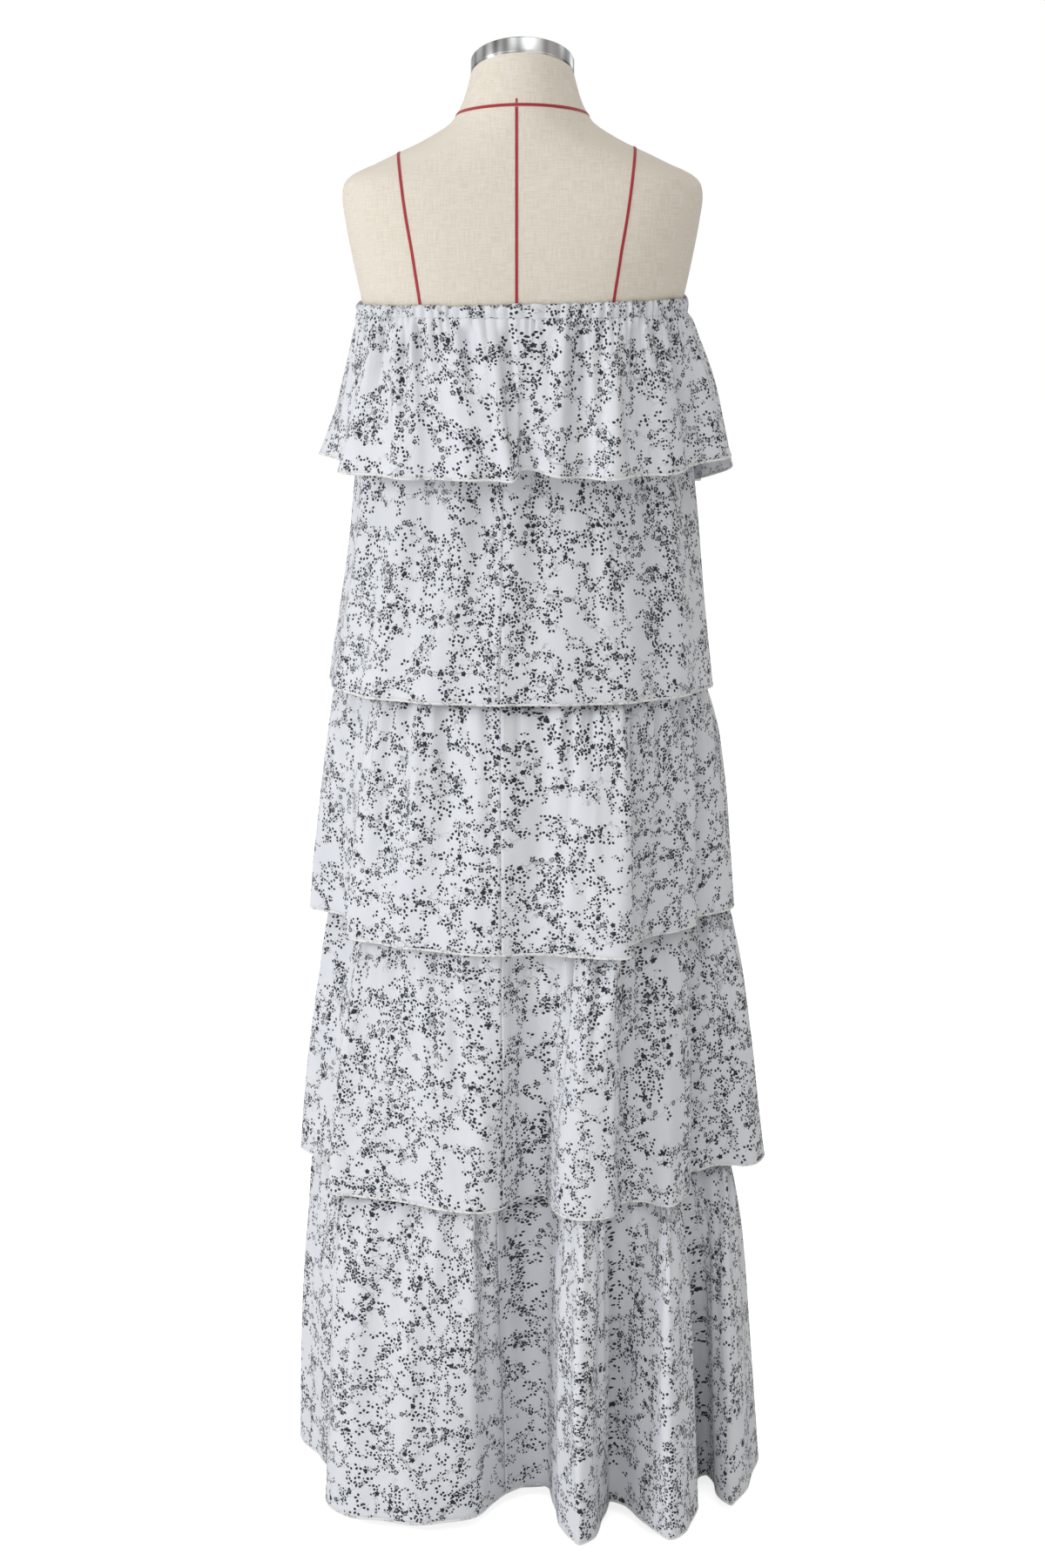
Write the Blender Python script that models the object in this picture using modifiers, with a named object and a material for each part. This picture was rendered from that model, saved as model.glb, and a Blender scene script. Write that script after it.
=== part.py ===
"""Strapless tiered maxi dress on a limbless dress form.

Metres, +Z up. The origin is on the floor under the pole. +X is to the right of someone who looks at
the dress's back, and +Y is the wearer's front, so the centre back seam is on the -Y side.

The dress is an elastic casing, a ruffle and four skirt tiers. A skirt tier is one sheet of cloth whose
plan is known at each hem, from the table of folds. Between two hems the sheet runs from the step just
under the hem above down to its own hem, and its top is sewn inside the tier above.
"""
import math
from collections import namedtuple

import bmesh
import bpy
import numpy as np
from mathutils import Vector
from mathutils.bvhtree import BVHTree

MM = 0.001

# Cloth and sewing
CLOTH = 1.5 * MM
SEAM_GAP = 0.3 * MM
SEAM_TRIM = 0.18 * MM
TIER_INSET = CLOTH + 0.5 * MM
TIER_3_STEP = 4 * MM
NORMAL_STEP = 5 * MM
OVERLAP = 36 * MM

# Elastic casing at the top edge
TOP_EDGE = 1.306
CASING_HEIGHT = 11 * MM
CASING_WALL = 3.6 * MM
CASING_CLEAR = 1.85 * MM
CASING_GATHERS = 64
CASING_FOOT = TOP_EDGE - CASING_HEIGHT
TOP_EDGE_SLOPE = 0.018
CREST_RISE = 0.8 * MM

# Section of the casing, from its outer foot to its inner foot: up as a share of its height, out from
# its inner face, and how much further out a gather's crest is, in millimetres
CasingPoint = namedtuple("CasingPoint", "up out crest_out")
CASING_SECTION = [
    CasingPoint(0.0, 2.6, 0.6),
    CasingPoint(0.5, 3.6, 1.2),
    CasingPoint(1.0, 2.6, 0.6),
    CasingPoint(1.0, 0.0, 0.0),
    CasingPoint(0.0, 0.0, 0.0),
]

# Hem heights of the tiers
HEM_Z = {2: 0.903, 3: 0.643, 4: 0.362, 5: 0.012}

# How early each tier widens towards its hem, as a power of the share of its drop
GROWTH = {3: 0.5, 4: 0.8, 5: 0.65}

# Style tapes on the form
TAPE_WIDTH = 3.0 * MM
TAPE_THICK = 0.5 * MM
TAPE_GAP = 0.65 * MM
NECK_TAPE_GAP = 0.7 * MM
TAPE_FOOT = 1.284
NECK_TAPE_POINTS = 44
TAPE_CLEAR = 0.8 * MM
CENTRE_TAPE_X = -0.006
CENTRE_TAPE_POINTS = 26
NECK_TAPE_Y = 2 * MM
NECK_TAPE_Z = 1.4955
NECK_TAPE_RISE = 9 * MM
NECK_TAPE_DROP = 20 * MM
PRINCESS_X = 0.106
PRINCESS_SPREAD = 0.016
PRINCESS_TAPER = 0.15
PRINCESS_PIVOT = 1.36
PRINCESS_Y = -4 * MM
PRINCESS_LEG_POINTS = 7
PRINCESS_OVER_POINTS = 31
RAY_START = 0.4

# Neck cap, pole and base
CAP_RADIUS = 53.5 * MM
CAP_HEIGHT = 18 * MM
NECK_TILT = math.radians(24.5)
POLE_RADIUS = 12.5 * MM
PLATE_RADIUS = 116 * MM
PLATE_THICK = 10 * MM
SOCKET_RADIUS = 24 * MM
SOCKET_HEIGHT = 34 * MM
SOCKET_BEVEL = 6 * MM
PLATE_BEVEL = 3 * MM
CAP_DOME = 3 * MM
CAP_DOME_RADIUS = 32 * MM
CAP_BEVEL = 2 * MM
FLANGE_RADIUS = 48 * MM
FLANGE_THICK = 8 * MM
ROUND_STEPS = 32

# Sections of the form, from its foot to the top of the neck, in millimetres. back and front are the
# depths on the two sides of the pole, square is the exponent of the section's outline, lean moves the
# section to the front, and tilt turns it, back up, in degrees.
Section = namedtuple("Section", "z half_width back front square lean tilt")
FORM = [
    Section(806, 150, 92, 92, 2.2, 0, 0),
    Section(812, 164, 105, 102, 2.2, 0, 0),
    Section(840, 171, 116, 105, 2.2, 0, 0),
    Section(900, 173, 121, 106, 2.2, 0, 0),
    Section(1000, 155, 106, 100, 2.2, 0, 0),
    Section(1090, 131, 85, 92, 2.1, 0, 0),
    Section(1170, 144, 92, 108, 2.2, 0, 0),
    Section(1235, 158, 102, 133, 2.4, 0, 0),
    Section(1300, 167, 106, 118, 2.5, 0, 0),
    Section(1340, 175, 106, 98, 2.6, 0, 0),
    Section(1383, 183, 101, 82, 2.8, 0, 0),
    Section(1412, 187, 94, 73, 2.8, 0, 0),
    Section(1426, 185, 89, 68, 2.7, 0, 0),
    Section(1436, 175, 84, 64, 2.6, 0, 0),
    Section(1446, 153, 79.5, 61, 2.4, 0, 0),
    Section(1457, 130, 75, 58, 2.3, 0, 0),
    Section(1467, 108, 71, 56, 2.2, 0, 0),
    Section(1478, 88, 67, 55, 2.1, 1, 0),
    Section(1488, 73.5, 64, 54, 2.0, 2, 1),
    Section(1499, 66, 61, 54, 2.0, 4, 5),
    Section(1512, 60, 57.5, 54, 2.0, 7, 12),
    Section(1534, 53.5, 53.5, 53.5, 2.0, 12, 24.5),
]
FORM_COLUMNS = 40

# Sections of tier 2, which hangs smooth from the casing, in millimetres.
Ring = namedtuple("Ring", "z left right back front square")
TIER_2 = [
    Ring(1240, 167, 167, 109, 142, 2.45),
    Ring(1095, 178, 181, 125, 145, 2.4),
    Ring(903, 208, 205, 152, 152, 2.4),
]

# The folds of the skirt, counter-clockwise from the centre back seam as seen from above. Each row is the
# crest of a ridge or the bottom of a valley, at the hems of tiers 3, 4 and 5, as x and y in millimetres.
# step is how far the tier below stands inside the hems of tiers 3 and 4 there.
Fold = namedtuple("Fold", "name hem3 hem4 hem5 step3 step4")
FOLDS = [
    Fold("centre_back_seam", (-22, -181), (-22, -180), (-19, -152), 5, 4),
    Fold("centre_valley", (10, -178), (4, -150), (4, -137), 5, 4),
    Fold("centre_valley_end", (34, -176), (24, -146), (27, -138), 5, 4),
    Fold("right_ridge_near", (50, -184), (32, -190), (36, -205), 5, 4),
    Fold("right_ridge", (78, -191), (62, -213), (60, -263), 5, 4),
    Fold("right_ridge_far", (113, -187), (92, -207), (84, -226), 5, 4),
    Fold("second_valley", (112, -150), (104, -170), (96, -168), 5, 4),
    Fold("outer_ridge_near", (128, -122), (131, -163), (124, -200), 5, 2),
    Fold("outer_ridge", (160, -96), (158, -175), (158, -250), 5, 2),
    Fold("outer_ridge_far", (190, -66), (179, -145), (188, -207), 5, 2),
    Fold("side_valley", (189, -38), (180, -84), (196, -112), 5, 8),
    Fold("side_valley_far", (198, -30), (196, -72), (207, -108), 5, 10),
    Fold("right_side_near", (209, -24), (214, -58), (213, -147), 3, 14),
    Fold("right_side_ridge", (228, -10), (252, -58), (230, -179), 2, 24),
    Fold("right_side_far", (236, 15), (273, -22), (263, -92), 2, 34),
    Fold("right_side_seam", (229, 48), (263, 24), (269, -26), 3, 32),
    Fold("right_front_valley", (205, 74), (238, 58), (240, 16), 5, 20),
    Fold("right_front_ridge", (198, 116), (236, 104), (248, 72), 5, 12),
    Fold("front_valley_1", (160, 118), (180, 118), (196, 98), 5, 6),
    Fold("front_ridge_1", (130, 166), (152, 178), (170, 172), 5, 5),
    Fold("front_valley_2", (84, 150), (98, 148), (112, 140), 5, 5),
    Fold("front_ridge_2", (46, 190), (56, 206), (66, 226), 5, 5),
    Fold("front_valley_3", (0, 164), (4, 164), (10, 158), 5, 5),
    Fold("front_ridge_3", (-46, 190), (-46, 208), (-48, 226), 5, 5),
    Fold("front_valley_4", (-88, 152), (-92, 150), (-98, 142), 5, 5),
    Fold("front_ridge_4", (-134, 164), (-148, 176), (-158, 182), 6, 5),
    Fold("front_valley_5", (-164, 116), (-178, 114), (-190, 108), 8, 6),
    Fold("left_front_ridge", (-204, 104), (-226, 98), (-240, 92), 10, 8),
    Fold("left_side_seam", (-212, 60), (-226, 52), (-240, 46), 12, 9),
    Fold("left_side_ridge", (-237, 8), (-252, 4), (-260, -2), 13, 9),
    Fold("left_side_near", (-213, -18), (-236, -24), (-242, -50), 13, 8),
    Fold("left_side_valley", (-182, -52), (-206, -74), (-214, -100), 8, 6),
    Fold("left_panel_corner", (-186, -114), (-208, -138), (-213, -184), 5, 5),
    Fold("left_panel_outer", (-148, -140), (-142, -158), (-164, -209), 5, 5),
    Fold("left_panel_inner", (-98, -165), (-86, -184), (-94, -218), 5, 5),
    Fold("centre_ridge", (-60, -176), (-48, -197), (-48, -199), 5, 5),
]
FOLD_NAMES = [fold.name for fold in FOLDS]
FOLD_COUNT = len(FOLDS)
RIGHT_SEAM = FOLD_NAMES.index("right_side_seam")
LEFT_SEAM = FOLD_NAMES.index("left_side_seam")

# The ruffle's hem, round the same way, as x, y and z in millimetres.
Wave = namedtuple("Wave", "name x y z")
RUFFLE = [
    Wave("centre_tuck", 2, -146, 1146),
    Wave("right_wave_1", 36, -160, 1139),
    Wave("right_dip_1", 60, -149, 1137),
    Wave("right_wave_2", 88, -160, 1136),
    Wave("right_dip_2", 118, -138, 1138),
    Wave("right_wave_3", 152, -128, 1138),
    Wave("right_dip_3", 172, -92, 1142),
    Wave("right_wave_4", 206, -60, 1146),
    Wave("right_tip", 222, -14, 1147),
    Wave("right_seam", 222, 26, 1128),
    Wave("right_front_dip", 192, 60, 1112),
    Wave("right_front_wave", 194, 108, 1106),
    Wave("front_dip_1", 154, 120, 1108),
    Wave("front_wave_1", 132, 164, 1110),
    Wave("front_dip_2", 88, 156, 1116),
    Wave("front_wave_2", 52, 190, 1120),
    Wave("front_dip_3", 6, 166, 1122),
    Wave("front_wave_3", -44, 191, 1120),
    Wave("front_dip_4", -84, 158, 1118),
    Wave("front_wave_4", -130, 165, 1118),
    Wave("front_dip_5", -154, 120, 1122),
    Wave("left_front_wave", -194, 102, 1130),
    Wave("left_front_dip", -192, 56, 1136),
    Wave("left_seam", -213, 22, 1144),
    Wave("left_tip", -214, -16, 1146),
    Wave("left_tuck", -186, -50, 1142),
    Wave("left_corner", -190, -102, 1137),
    Wave("left_dip_1", -152, -124, 1137),
    Wave("left_wave_2", -126, -154, 1136),
    Wave("left_dip_2", -92, -150, 1136),
    Wave("left_wave_3", -58, -169, 1136),
    Wave("left_dip_3", -28, -158, 1136),
    Wave("centre_wave", -6, -171, 1136),
]
WAVE_NAMES = [wave.name for wave in RUFFLE]
RUFFLE_RIGHT = WAVE_NAMES.index("right_seam")
RUFFLE_LEFT = WAVE_NAMES.index("left_seam")

# Where the seams are sewn to the casing, in turns from the middle of the back to the right
CENTRE_SEAM_TURN = -0.0115
RIGHT_SEAM_TURN = 0.27

# Columns and rows of the cloth
SKIRT_COLUMN = 24 * MM
RUFFLE_COLUMNS = {"back": 52, "front": 44}
RUFFLE_ROWS = (0.0, 0.1, 0.32, 0.65, 1.0)
UPPER_ROW = 0.36
LOWER_ROW = 0.3

# The ruffle widens as a power of the share of its drop, earlier on the right. In front it is lifted over
# the bust, within the upper share of its drop.
RUFFLE_SPREAD = 1.05
RUFFLE_LEAN = 1.25
BUST_LIFT = 9 * MM
BUST_REACH = 120 * MM
BUST_SHARE = 0.7

# Small gathers under each seam. They dip inwards, and fade down the tier.
DIP_COUNT = 27
DIP_DEPTH = {1: 5 * MM, 2: 1.2 * MM, 3: 5 * MM, 4: 5 * MM, 5: 4 * MM}
DIP_DRIFT = 0.32
DIP_WEAKENING = 0.3
DIP_RISE = 26 * MM
DIP_FADE = 120 * MM
RUFFLE_DIP_RISE = 14 * MM
RUFFLE_DIP_FADE = 60 * MM

COLOURS = {
    "chiffon": ((0.80, 0.82, 0.86), 0.75, 0.0),
    "linen": ((0.76, 0.70, 0.60), 0.85, 0.0),
    "tape": ((0.55, 0.02, 0.03), 0.6, 0.0),
    "steel": ((0.62, 0.62, 0.61), 0.3, 1.0),
    "lacquer": ((0.85, 0.85, 0.85), 0.4, 0.0),
}


def clear_scene():
    for old in list(bpy.data.objects):
        bpy.data.objects.remove(old, do_unlink=True)


def material(name):
    """The named Principled material, made once."""
    made = bpy.data.materials.get(name)
    if made is None:
        colour, roughness, metallic = COLOURS[name]
        made = bpy.data.materials.new(name)
        made.use_nodes = True
        shader = made.node_tree.nodes["Principled BSDF"]
        shader.inputs["Base Color"].default_value = (*colour, 1.0)
        shader.inputs["Roughness"].default_value = roughness
        shader.inputs["Metallic"].default_value = metallic
    return made


def add_object(name, mesh_data, finish):
    """Links a new object for a mesh or curve in the dress's collection."""
    made = bpy.data.objects.new(name, mesh_data)
    made.data.materials.append(material(finish))
    collection.objects.link(made)
    return made


def smooth_columns(table, at):
    """Each column of a table at fractional row numbers, by a cubic that never overshoots its rows."""
    values = np.array([list(row) for row in table], float)
    steps = np.diff(values, axis=0)
    slopes = np.zeros_like(values)
    product = steps[:-1] * steps[1:]
    total = steps[:-1] + steps[1:]
    slopes[1:-1] = np.where(product > 0, 2 * product / np.where(total == 0, 1, total), 0)
    slopes[0], slopes[-1] = steps[0], steps[-1]
    at = np.clip(np.asarray(at, float), 0, len(values) - 1)
    low = np.minimum(at.astype(int), len(values) - 2)
    f = (at - low)[..., None]
    a, b, ma, mb = values[low], values[low + 1], slopes[low], slopes[low + 1]
    return (
        a * (2 * f**3 - 3 * f**2 + 1)
        + b * (3 * f**2 - 2 * f**3)
        + ma * (f**3 - 2 * f**2 + f)
        + mb * (f**3 - f**2)
    )


def outline(turn, left, right, back, front, square):
    """A rounded outline. turn runs from 0 at the back, to the right, in whole turns."""
    angle = 2 * math.pi * np.asarray(turn)
    s, c = np.sin(angle), np.cos(angle)
    across = np.sign(s) * np.abs(s) ** (2 / square)
    along = np.sign(c) * np.abs(c) ** (2 / square)
    return np.where(s > 0, right, left) * across, -np.where(c > 0, back, front) * along


def outward(loop):
    """Unit normals, in plan, of a closed loop of points that runs counter-clockwise."""
    along = np.roll(loop, -1, axis=-2) - np.roll(loop, 1, axis=-2)
    normal = np.stack([along[..., 1], -along[..., 0]], axis=-1)
    return normal / np.linalg.norm(normal, axis=-1, keepdims=True)


def loop_through(points, knots):
    """A smooth closed curve through points, read at knots, where a whole number is a point."""
    points = np.asarray(points, float)
    count = len(points)
    low = np.floor(knots).astype(int)
    f = (knots - low)[:, None]
    p0, p1, p2, p3 = (points[(low + i) % count] for i in (-1, 0, 1, 2))
    d1, d2, d3 = (
        np.sqrt(np.linalg.norm(b - a, axis=1))[:, None] for a, b in ((p0, p1), (p1, p2), (p2, p3))
    )
    m1 = ((p1 - p0) / d1 - (p2 - p0) / (d1 + d2) + (p2 - p1) / d2) * d2
    m2 = ((p2 - p1) / d2 - (p3 - p1) / (d2 + d3) + (p3 - p2) / d3) * d2
    return (
        p1 * (2 * f**3 - 3 * f**2 + 1)
        + p2 * (3 * f**2 - 2 * f**3)
        + m1 * (f**3 - 2 * f**2 + f)
        + m2 * (f**3 - f**2)
    )


def travelled_along(points):
    """Distance travelled at each of a row of points."""
    steps = np.linalg.norm(np.diff(points, axis=0), axis=1)
    return np.concatenate([[0], np.cumsum(steps)])


def sewn_turns(rows, knots, pins, turns):
    """How far round the casing each knot is sewn, in whole turns.

    The rows numbered in pins are sewn at the given turns, and between them the cloth is shared evenly.
    """
    fine = np.linspace(0, len(rows), 40 * len(rows) + 1)
    travelled = travelled_along(loop_through(rows, fine))
    at = np.interp(knots % len(rows), fine, travelled)
    return np.interp(at, np.interp(pins, fine, travelled), turns)


def fold_knots(curve, start, end):
    """Knots from start to end: each fold's own, and more between two folds that lie far apart."""
    knots = []
    for fold in range(start, end):
        fine = loop_through(curve, np.linspace(fold, fold + 1, 9))
        columns = max(2, round(travelled_along(fine)[-1] * MM / SKIRT_COLUMN))
        knots.extend(fold + np.arange(columns) / columns)
    return knots


def even_knots(curve, start, end, columns):
    """Knots from start to end, with even lengths of cloth between them."""
    fine = np.linspace(start, end, 40 * columns + 1)
    travelled = travelled_along(loop_through(curve, fine))
    return np.interp(np.linspace(0, travelled[-1], columns + 1), travelled, fine)


def rise(x, width):
    """Grows smoothly from 0 to 1 as x goes from 0 to width."""
    t = np.clip(x / width, 0, 1)
    return t * t * (3 - 2 * t)


class Skirt:
    """Tiers 2 to 5, all read at the same knots, so that their columns lie over each other."""

    def __init__(self, knots):
        self.knots = knots
        self.hems = {
            tier: loop_through([getattr(fold, f"hem{tier}") for fold in FOLDS], knots) * MM
            for tier in (3, 4, 5)
        }
        self.steps = {
            tier: np.interp(
                knots % FOLD_COUNT,
                np.arange(FOLD_COUNT + 1),
                [getattr(fold, f"step{tier}") for fold in FOLDS] + [getattr(FOLDS[0], f"step{tier}")],
            )
            * MM
            for tier in (3, 4)
        }
        self.steps[2] = np.full(len(knots), TIER_3_STEP)
        pins = (0, RIGHT_SEAM, LEFT_SEAM, FOLD_COUNT)
        turns = (CENTRE_SEAM_TURN, RIGHT_SEAM_TURN, 1 - RIGHT_SEAM_TURN, 1 + CENTRE_SEAM_TURN)
        self.turn = sewn_turns([fold.hem3 for fold in FOLDS], knots, pins, turns)
        self.dip_wave = self.dips()

    def dips(self):
        """The small gathers as a wave from 0 to 1, unevenly spaced."""
        phase = self.turn * DIP_COUNT + DIP_DRIFT * np.sin(2 * math.pi * (self.turn * 5 + 0.1))
        strength = 1 - DIP_WEAKENING * (1 - np.sin(2 * math.pi * (self.turn * 7 + 0.3)))
        return strength * (1 - np.cos(2 * math.pi * phase)) / 2

    def ring(self, z):
        """Plan of tier 2 at a height, before its gathers."""
        top = form_ring(self.turn, CASING_FOOT, CASING_CLEAR + CASING_WALL - CLOTH - SEAM_GAP)
        heights = [CASING_FOOT] + [row.z * MM for row in TIER_2]
        if z >= heights[1]:
            share = (heights[0] - z) / (heights[0] - heights[1])
            lower = self.tier_2_row(0)
            return top + (lower - top) * rise(share, 1.0)
        row = np.interp(-z, [-h for h in heights[1:]], range(len(TIER_2)))
        return self.tier_2_row(row)

    def tier_2_row(self, row):
        _, left, right, back, front, square = smooth_columns(TIER_2, row)
        x, y = outline(self.turn, left, right, back, front, square)
        return np.stack([x, y], axis=-1) * MM

    def smooth_plan(self, tier, z):
        """Plan of a tier at a height, before its gathers."""
        if tier == 2:
            return self.ring(z)
        above = HEM_Z[tier - 1]
        if z >= above:
            outer = self.plan(tier - 1, z)
            step = self.steps[tier - 1] * (1 - rise(z - above, OVERLAP))
            along_normal = np.minimum(step, NORMAL_STEP)
            to_pole = outer / np.linalg.norm(outer, axis=1, keepdims=True)
            return (
                outer
                - outward(outer) * (TIER_INSET + along_normal)[:, None]
                - to_pole * (step - along_normal)[:, None]
            )
        start = self.smooth_plan(tier, above)
        share = ((above - z) / (above - HEM_Z[tier])) ** GROWTH[tier]
        return start + (self.hems[tier] - start) * share

    def plan(self, tier, z):
        """Plan of a tier at a height."""
        smooth = self.smooth_plan(tier, z)
        top = CASING_FOOT if tier == 2 else HEM_Z[tier - 1] + OVERLAP
        below = top - z
        depth = DIP_DEPTH[tier] * rise(below, DIP_RISE) * math.exp(-below / DIP_FADE)
        return smooth - outward(smooth) * (self.dip_wave * depth)[:, None]

    def loop(self, tier, z):
        """The tier's outer face at a height, as a closed loop of points in space."""
        plan = self.plan(tier, z)
        return np.column_stack([plan, np.full(len(plan), z)])


def form_ring(turn, z, out=0.0):
    """Plan of the form at a height, moved out."""
    rows = np.interp(z / MM, [s.z for s in FORM], range(len(FORM)))
    _, half, back, front, square, lean, _ = smooth_columns(FORM, rows)
    grow = out / MM
    x, y = outline(turn, half + grow, half + grow, back + grow, front + grow, square)
    return np.stack([x, y + lean], axis=-1) * MM


def form_point(turn, row):
    """A point of the form's surface at a fractional row of its table."""
    z, half, back, front, square, lean, tilt = (column for column in smooth_columns(FORM, row).T)
    x, y = outline(turn, half, half, back, front, square)
    tilt = np.radians(tilt)
    return np.stack([x, y * np.cos(tilt) + lean, z - y * np.sin(tilt)], axis=-1) * MM


def mapped_grid(columns, rows, place):
    """A grid whose points are moved by place(column, row), with whole numbers for both."""
    grid = bmesh.new()
    bmesh.ops.create_grid(grid, x_segments=columns, y_segments=rows, size=0.5)
    for vertex in grid.verts:
        column = round((vertex.co.x + 0.5) * columns)
        row = round((0.5 - vertex.co.y) * rows)
        vertex.co = place(column, row)
    return grid


def finish_mesh(grid, name, finish, sharp=math.radians(50)):
    """Turns a bmesh into an object with its faces pointing out."""
    mesh = bpy.data.meshes.new(name)
    grid.to_mesh(mesh)
    grid.free()
    mesh.shade_smooth()
    mesh.set_sharp_from_angle(angle=sharp)
    return add_object(name, mesh, finish)


def cloth_tube(name, loops, panels):
    """Cuts a closed tube of cloth into panels, from first to last column, with a gap at each seam.

    The walls' inner faces follow the whole tube's normals, so that neighbours meet evenly at a seam.
    """
    inside = loops.copy()
    inside[:, :, :2] -= outward(loops[:, :, :2]) * CLOTH
    for panel, (first, last) in panels.items():
        faces = []
        for face in (loops, inside):
            closed = np.concatenate([face, face[:, :1]], axis=1)
            faces.append(trimmed(closed[:, first : last + 1], SEAM_TRIM))
        cloth_wall(f"{name}_{panel}", *faces)


def cloth_wall(name, outside, inside):
    """A wall between two faces, each given as points[row][column]."""
    rows, columns = outside.shape[0] - 1, outside.shape[1] - 1
    grid = bmesh.new()
    row_layer = grid.verts.layers.int.new("row")
    column_layer = grid.verts.layers.int.new("column")
    bmesh.ops.create_grid(grid, x_segments=columns, y_segments=rows, size=0.5)
    for vertex in grid.verts:
        vertex[column_layer] = round((vertex.co.x + 0.5) * columns)
        vertex[row_layer] = round((0.5 - vertex.co.y) * rows)
        vertex.co = outside[vertex[row_layer]][vertex[column_layer]]
    moved = bmesh.ops.extrude_face_region(grid, geom=grid.faces[:], use_keep_orig=True)["geom"]
    for vertex in moved:
        if isinstance(vertex, bmesh.types.BMVert):
            vertex.co = inside[vertex[row_layer]][vertex[column_layer]]
    bmesh.ops.recalc_face_normals(grid, faces=grid.faces)
    return finish_mesh(grid, name, "chiffon")


def trimmed(face, trim):
    """The face with its first and last columns moved in by trim, along the cloth, for the seam gap."""
    cut = face.copy()
    for end, inner in ((0, 1), (-1, -2)):
        step = face[:, inner] - face[:, end]
        cut[:, end] += step * (trim / np.linalg.norm(step, axis=1))[:, None]
    return cut


def build_skirt():
    hem = [fold.hem5 for fold in FOLDS]
    spans = {
        "back_right": (0, RIGHT_SEAM),
        "front": (RIGHT_SEAM, LEFT_SEAM),
        "back_left": (LEFT_SEAM, FOLD_COUNT),
    }
    knots, panels, start = [], {}, 0
    for panel, (first, last) in spans.items():
        knots += fold_knots(hem, first, last)
        panels[panel] = (start, len(knots))
        start = len(knots)
    skirt = Skirt(np.array(knots))
    for tier in HEM_Z:
        hem = HEM_Z[tier]
        if tier == 2:
            heights = [CASING_FOOT - SEAM_GAP, *(row.z * MM for row in TIER_2[:-1]), hem + OVERLAP, hem]
        else:
            above = HEM_Z[tier - 1]
            below = hem + OVERLAP if tier < 5 else hem + (above - hem) * LOWER_ROW
            heights = [above + OVERLAP, above, above + (below - above) * UPPER_ROW, below, hem]
        loops = np.array([skirt.loop(tier, z) for z in heights])
        cloth_tube(f"tier{tier}", loops, panels)


def ruffle_loops(knots):
    """Rows of the ruffle's outer face, from the casing's foot to its hem."""
    hem = loop_through([(wave.x, wave.y, wave.z) for wave in RUFFLE], knots) * MM
    pins = (0, RUFFLE_RIGHT, RUFFLE_LEFT, len(RUFFLE))
    turns = (0, RIGHT_SEAM_TURN, 1 - RIGHT_SEAM_TURN, 1)
    turn = sewn_turns([(wave.x, wave.y) for wave in RUFFLE], knots, pins, turns)
    top = CASING_FOOT - SEAM_GAP
    start = form_ring(turn, CASING_FOOT, CASING_CLEAR + CASING_WALL)
    phase = turn * 2 * DIP_COUNT + DIP_DRIFT * np.sin(2 * math.pi * turn * 6)
    dips = (1 - np.cos(2 * math.pi * phase)) / 2
    loops = []
    for share in RUFFLE_ROWS:
        z = top + (hem[:, 2] - top) * share
        spread = share ** (RUFFLE_SPREAD - RUFFLE_LEAN * hem[:, :1])
        plan = start + (hem[:, :2] - start) * spread
        front = np.clip(plan[:, 1] / BUST_REACH, 0, 1)
        over_bust = BUST_LIFT * math.sin(math.pi * min(share / BUST_SHARE, 1.0))
        below = top - z
        puff = DIP_DEPTH[1] * rise(below, RUFFLE_DIP_RISE) * np.exp(-below / RUFFLE_DIP_FADE)
        plan = plan + outward(plan) * (front * over_bust + (1 - dips) * puff)[:, None]
        loops.append(np.column_stack([plan, z]))
    return np.array(loops)


def build_ruffle():
    curve = [(wave.x, wave.y) for wave in RUFFLE]
    count = len(RUFFLE)
    back = even_knots(curve, RUFFLE_LEFT - count, RUFFLE_RIGHT, RUFFLE_COLUMNS["back"])[:-1]
    front = even_knots(curve, RUFFLE_RIGHT, RUFFLE_LEFT, RUFFLE_COLUMNS["front"])[:-1]
    loops = ruffle_loops(np.concatenate([back, front]))
    cut = RUFFLE_COLUMNS["back"]
    panels = {"back": (0, cut), "front": (cut, cut + RUFFLE_COLUMNS["front"])}
    cloth_tube("ruffle", loops, panels)


def build_casing():
    """The elastic casing: gathers raised on its outer points, over a plain inside."""
    columns = 2 * CASING_GATHERS

    def place(column, row):
        point = CASING_SECTION[row % len(CASING_SECTION)]
        turn = (column % columns) / columns
        on_crest = column % 2 == 0
        out = CASING_CLEAR + (point.out + point.crest_out * on_crest) * MM
        x, y = form_ring(turn, CASING_FOOT + point.up * CASING_HEIGHT, out)
        lift = CASING_HEIGHT + TOP_EDGE_SLOPE * x + CREST_RISE * on_crest
        return Vector((x, y, CASING_FOOT + point.up * lift))

    grid = mapped_grid(columns, len(CASING_SECTION), place)
    bmesh.ops.remove_doubles(grid, verts=grid.verts, dist=0.01 * MM)
    bmesh.ops.recalc_face_normals(grid, faces=grid.faces)
    finish_mesh(grid, "elastic_casing", "chiffon")


def build_form():
    """The form's body and neck, closed at the foot and at the neck's top."""
    rows = np.concatenate([range(8), np.arange(8, len(FORM) - 1, 0.5), [len(FORM) - 1]])

    def place(column, row):
        return Vector(form_point(np.array(column % FORM_COLUMNS / FORM_COLUMNS), rows[row]))

    grid = mapped_grid(FORM_COLUMNS, len(rows) - 1, place)
    bmesh.ops.remove_doubles(grid, verts=grid.verts, dist=0.01 * MM)
    open_edges = [edge for edge in grid.edges if edge.is_boundary]
    bmesh.ops.holes_fill(grid, edges=open_edges, sides=0)
    bmesh.ops.recalc_face_normals(grid, faces=grid.faces)
    return finish_mesh(grid, "form_body", "linen")


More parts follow.
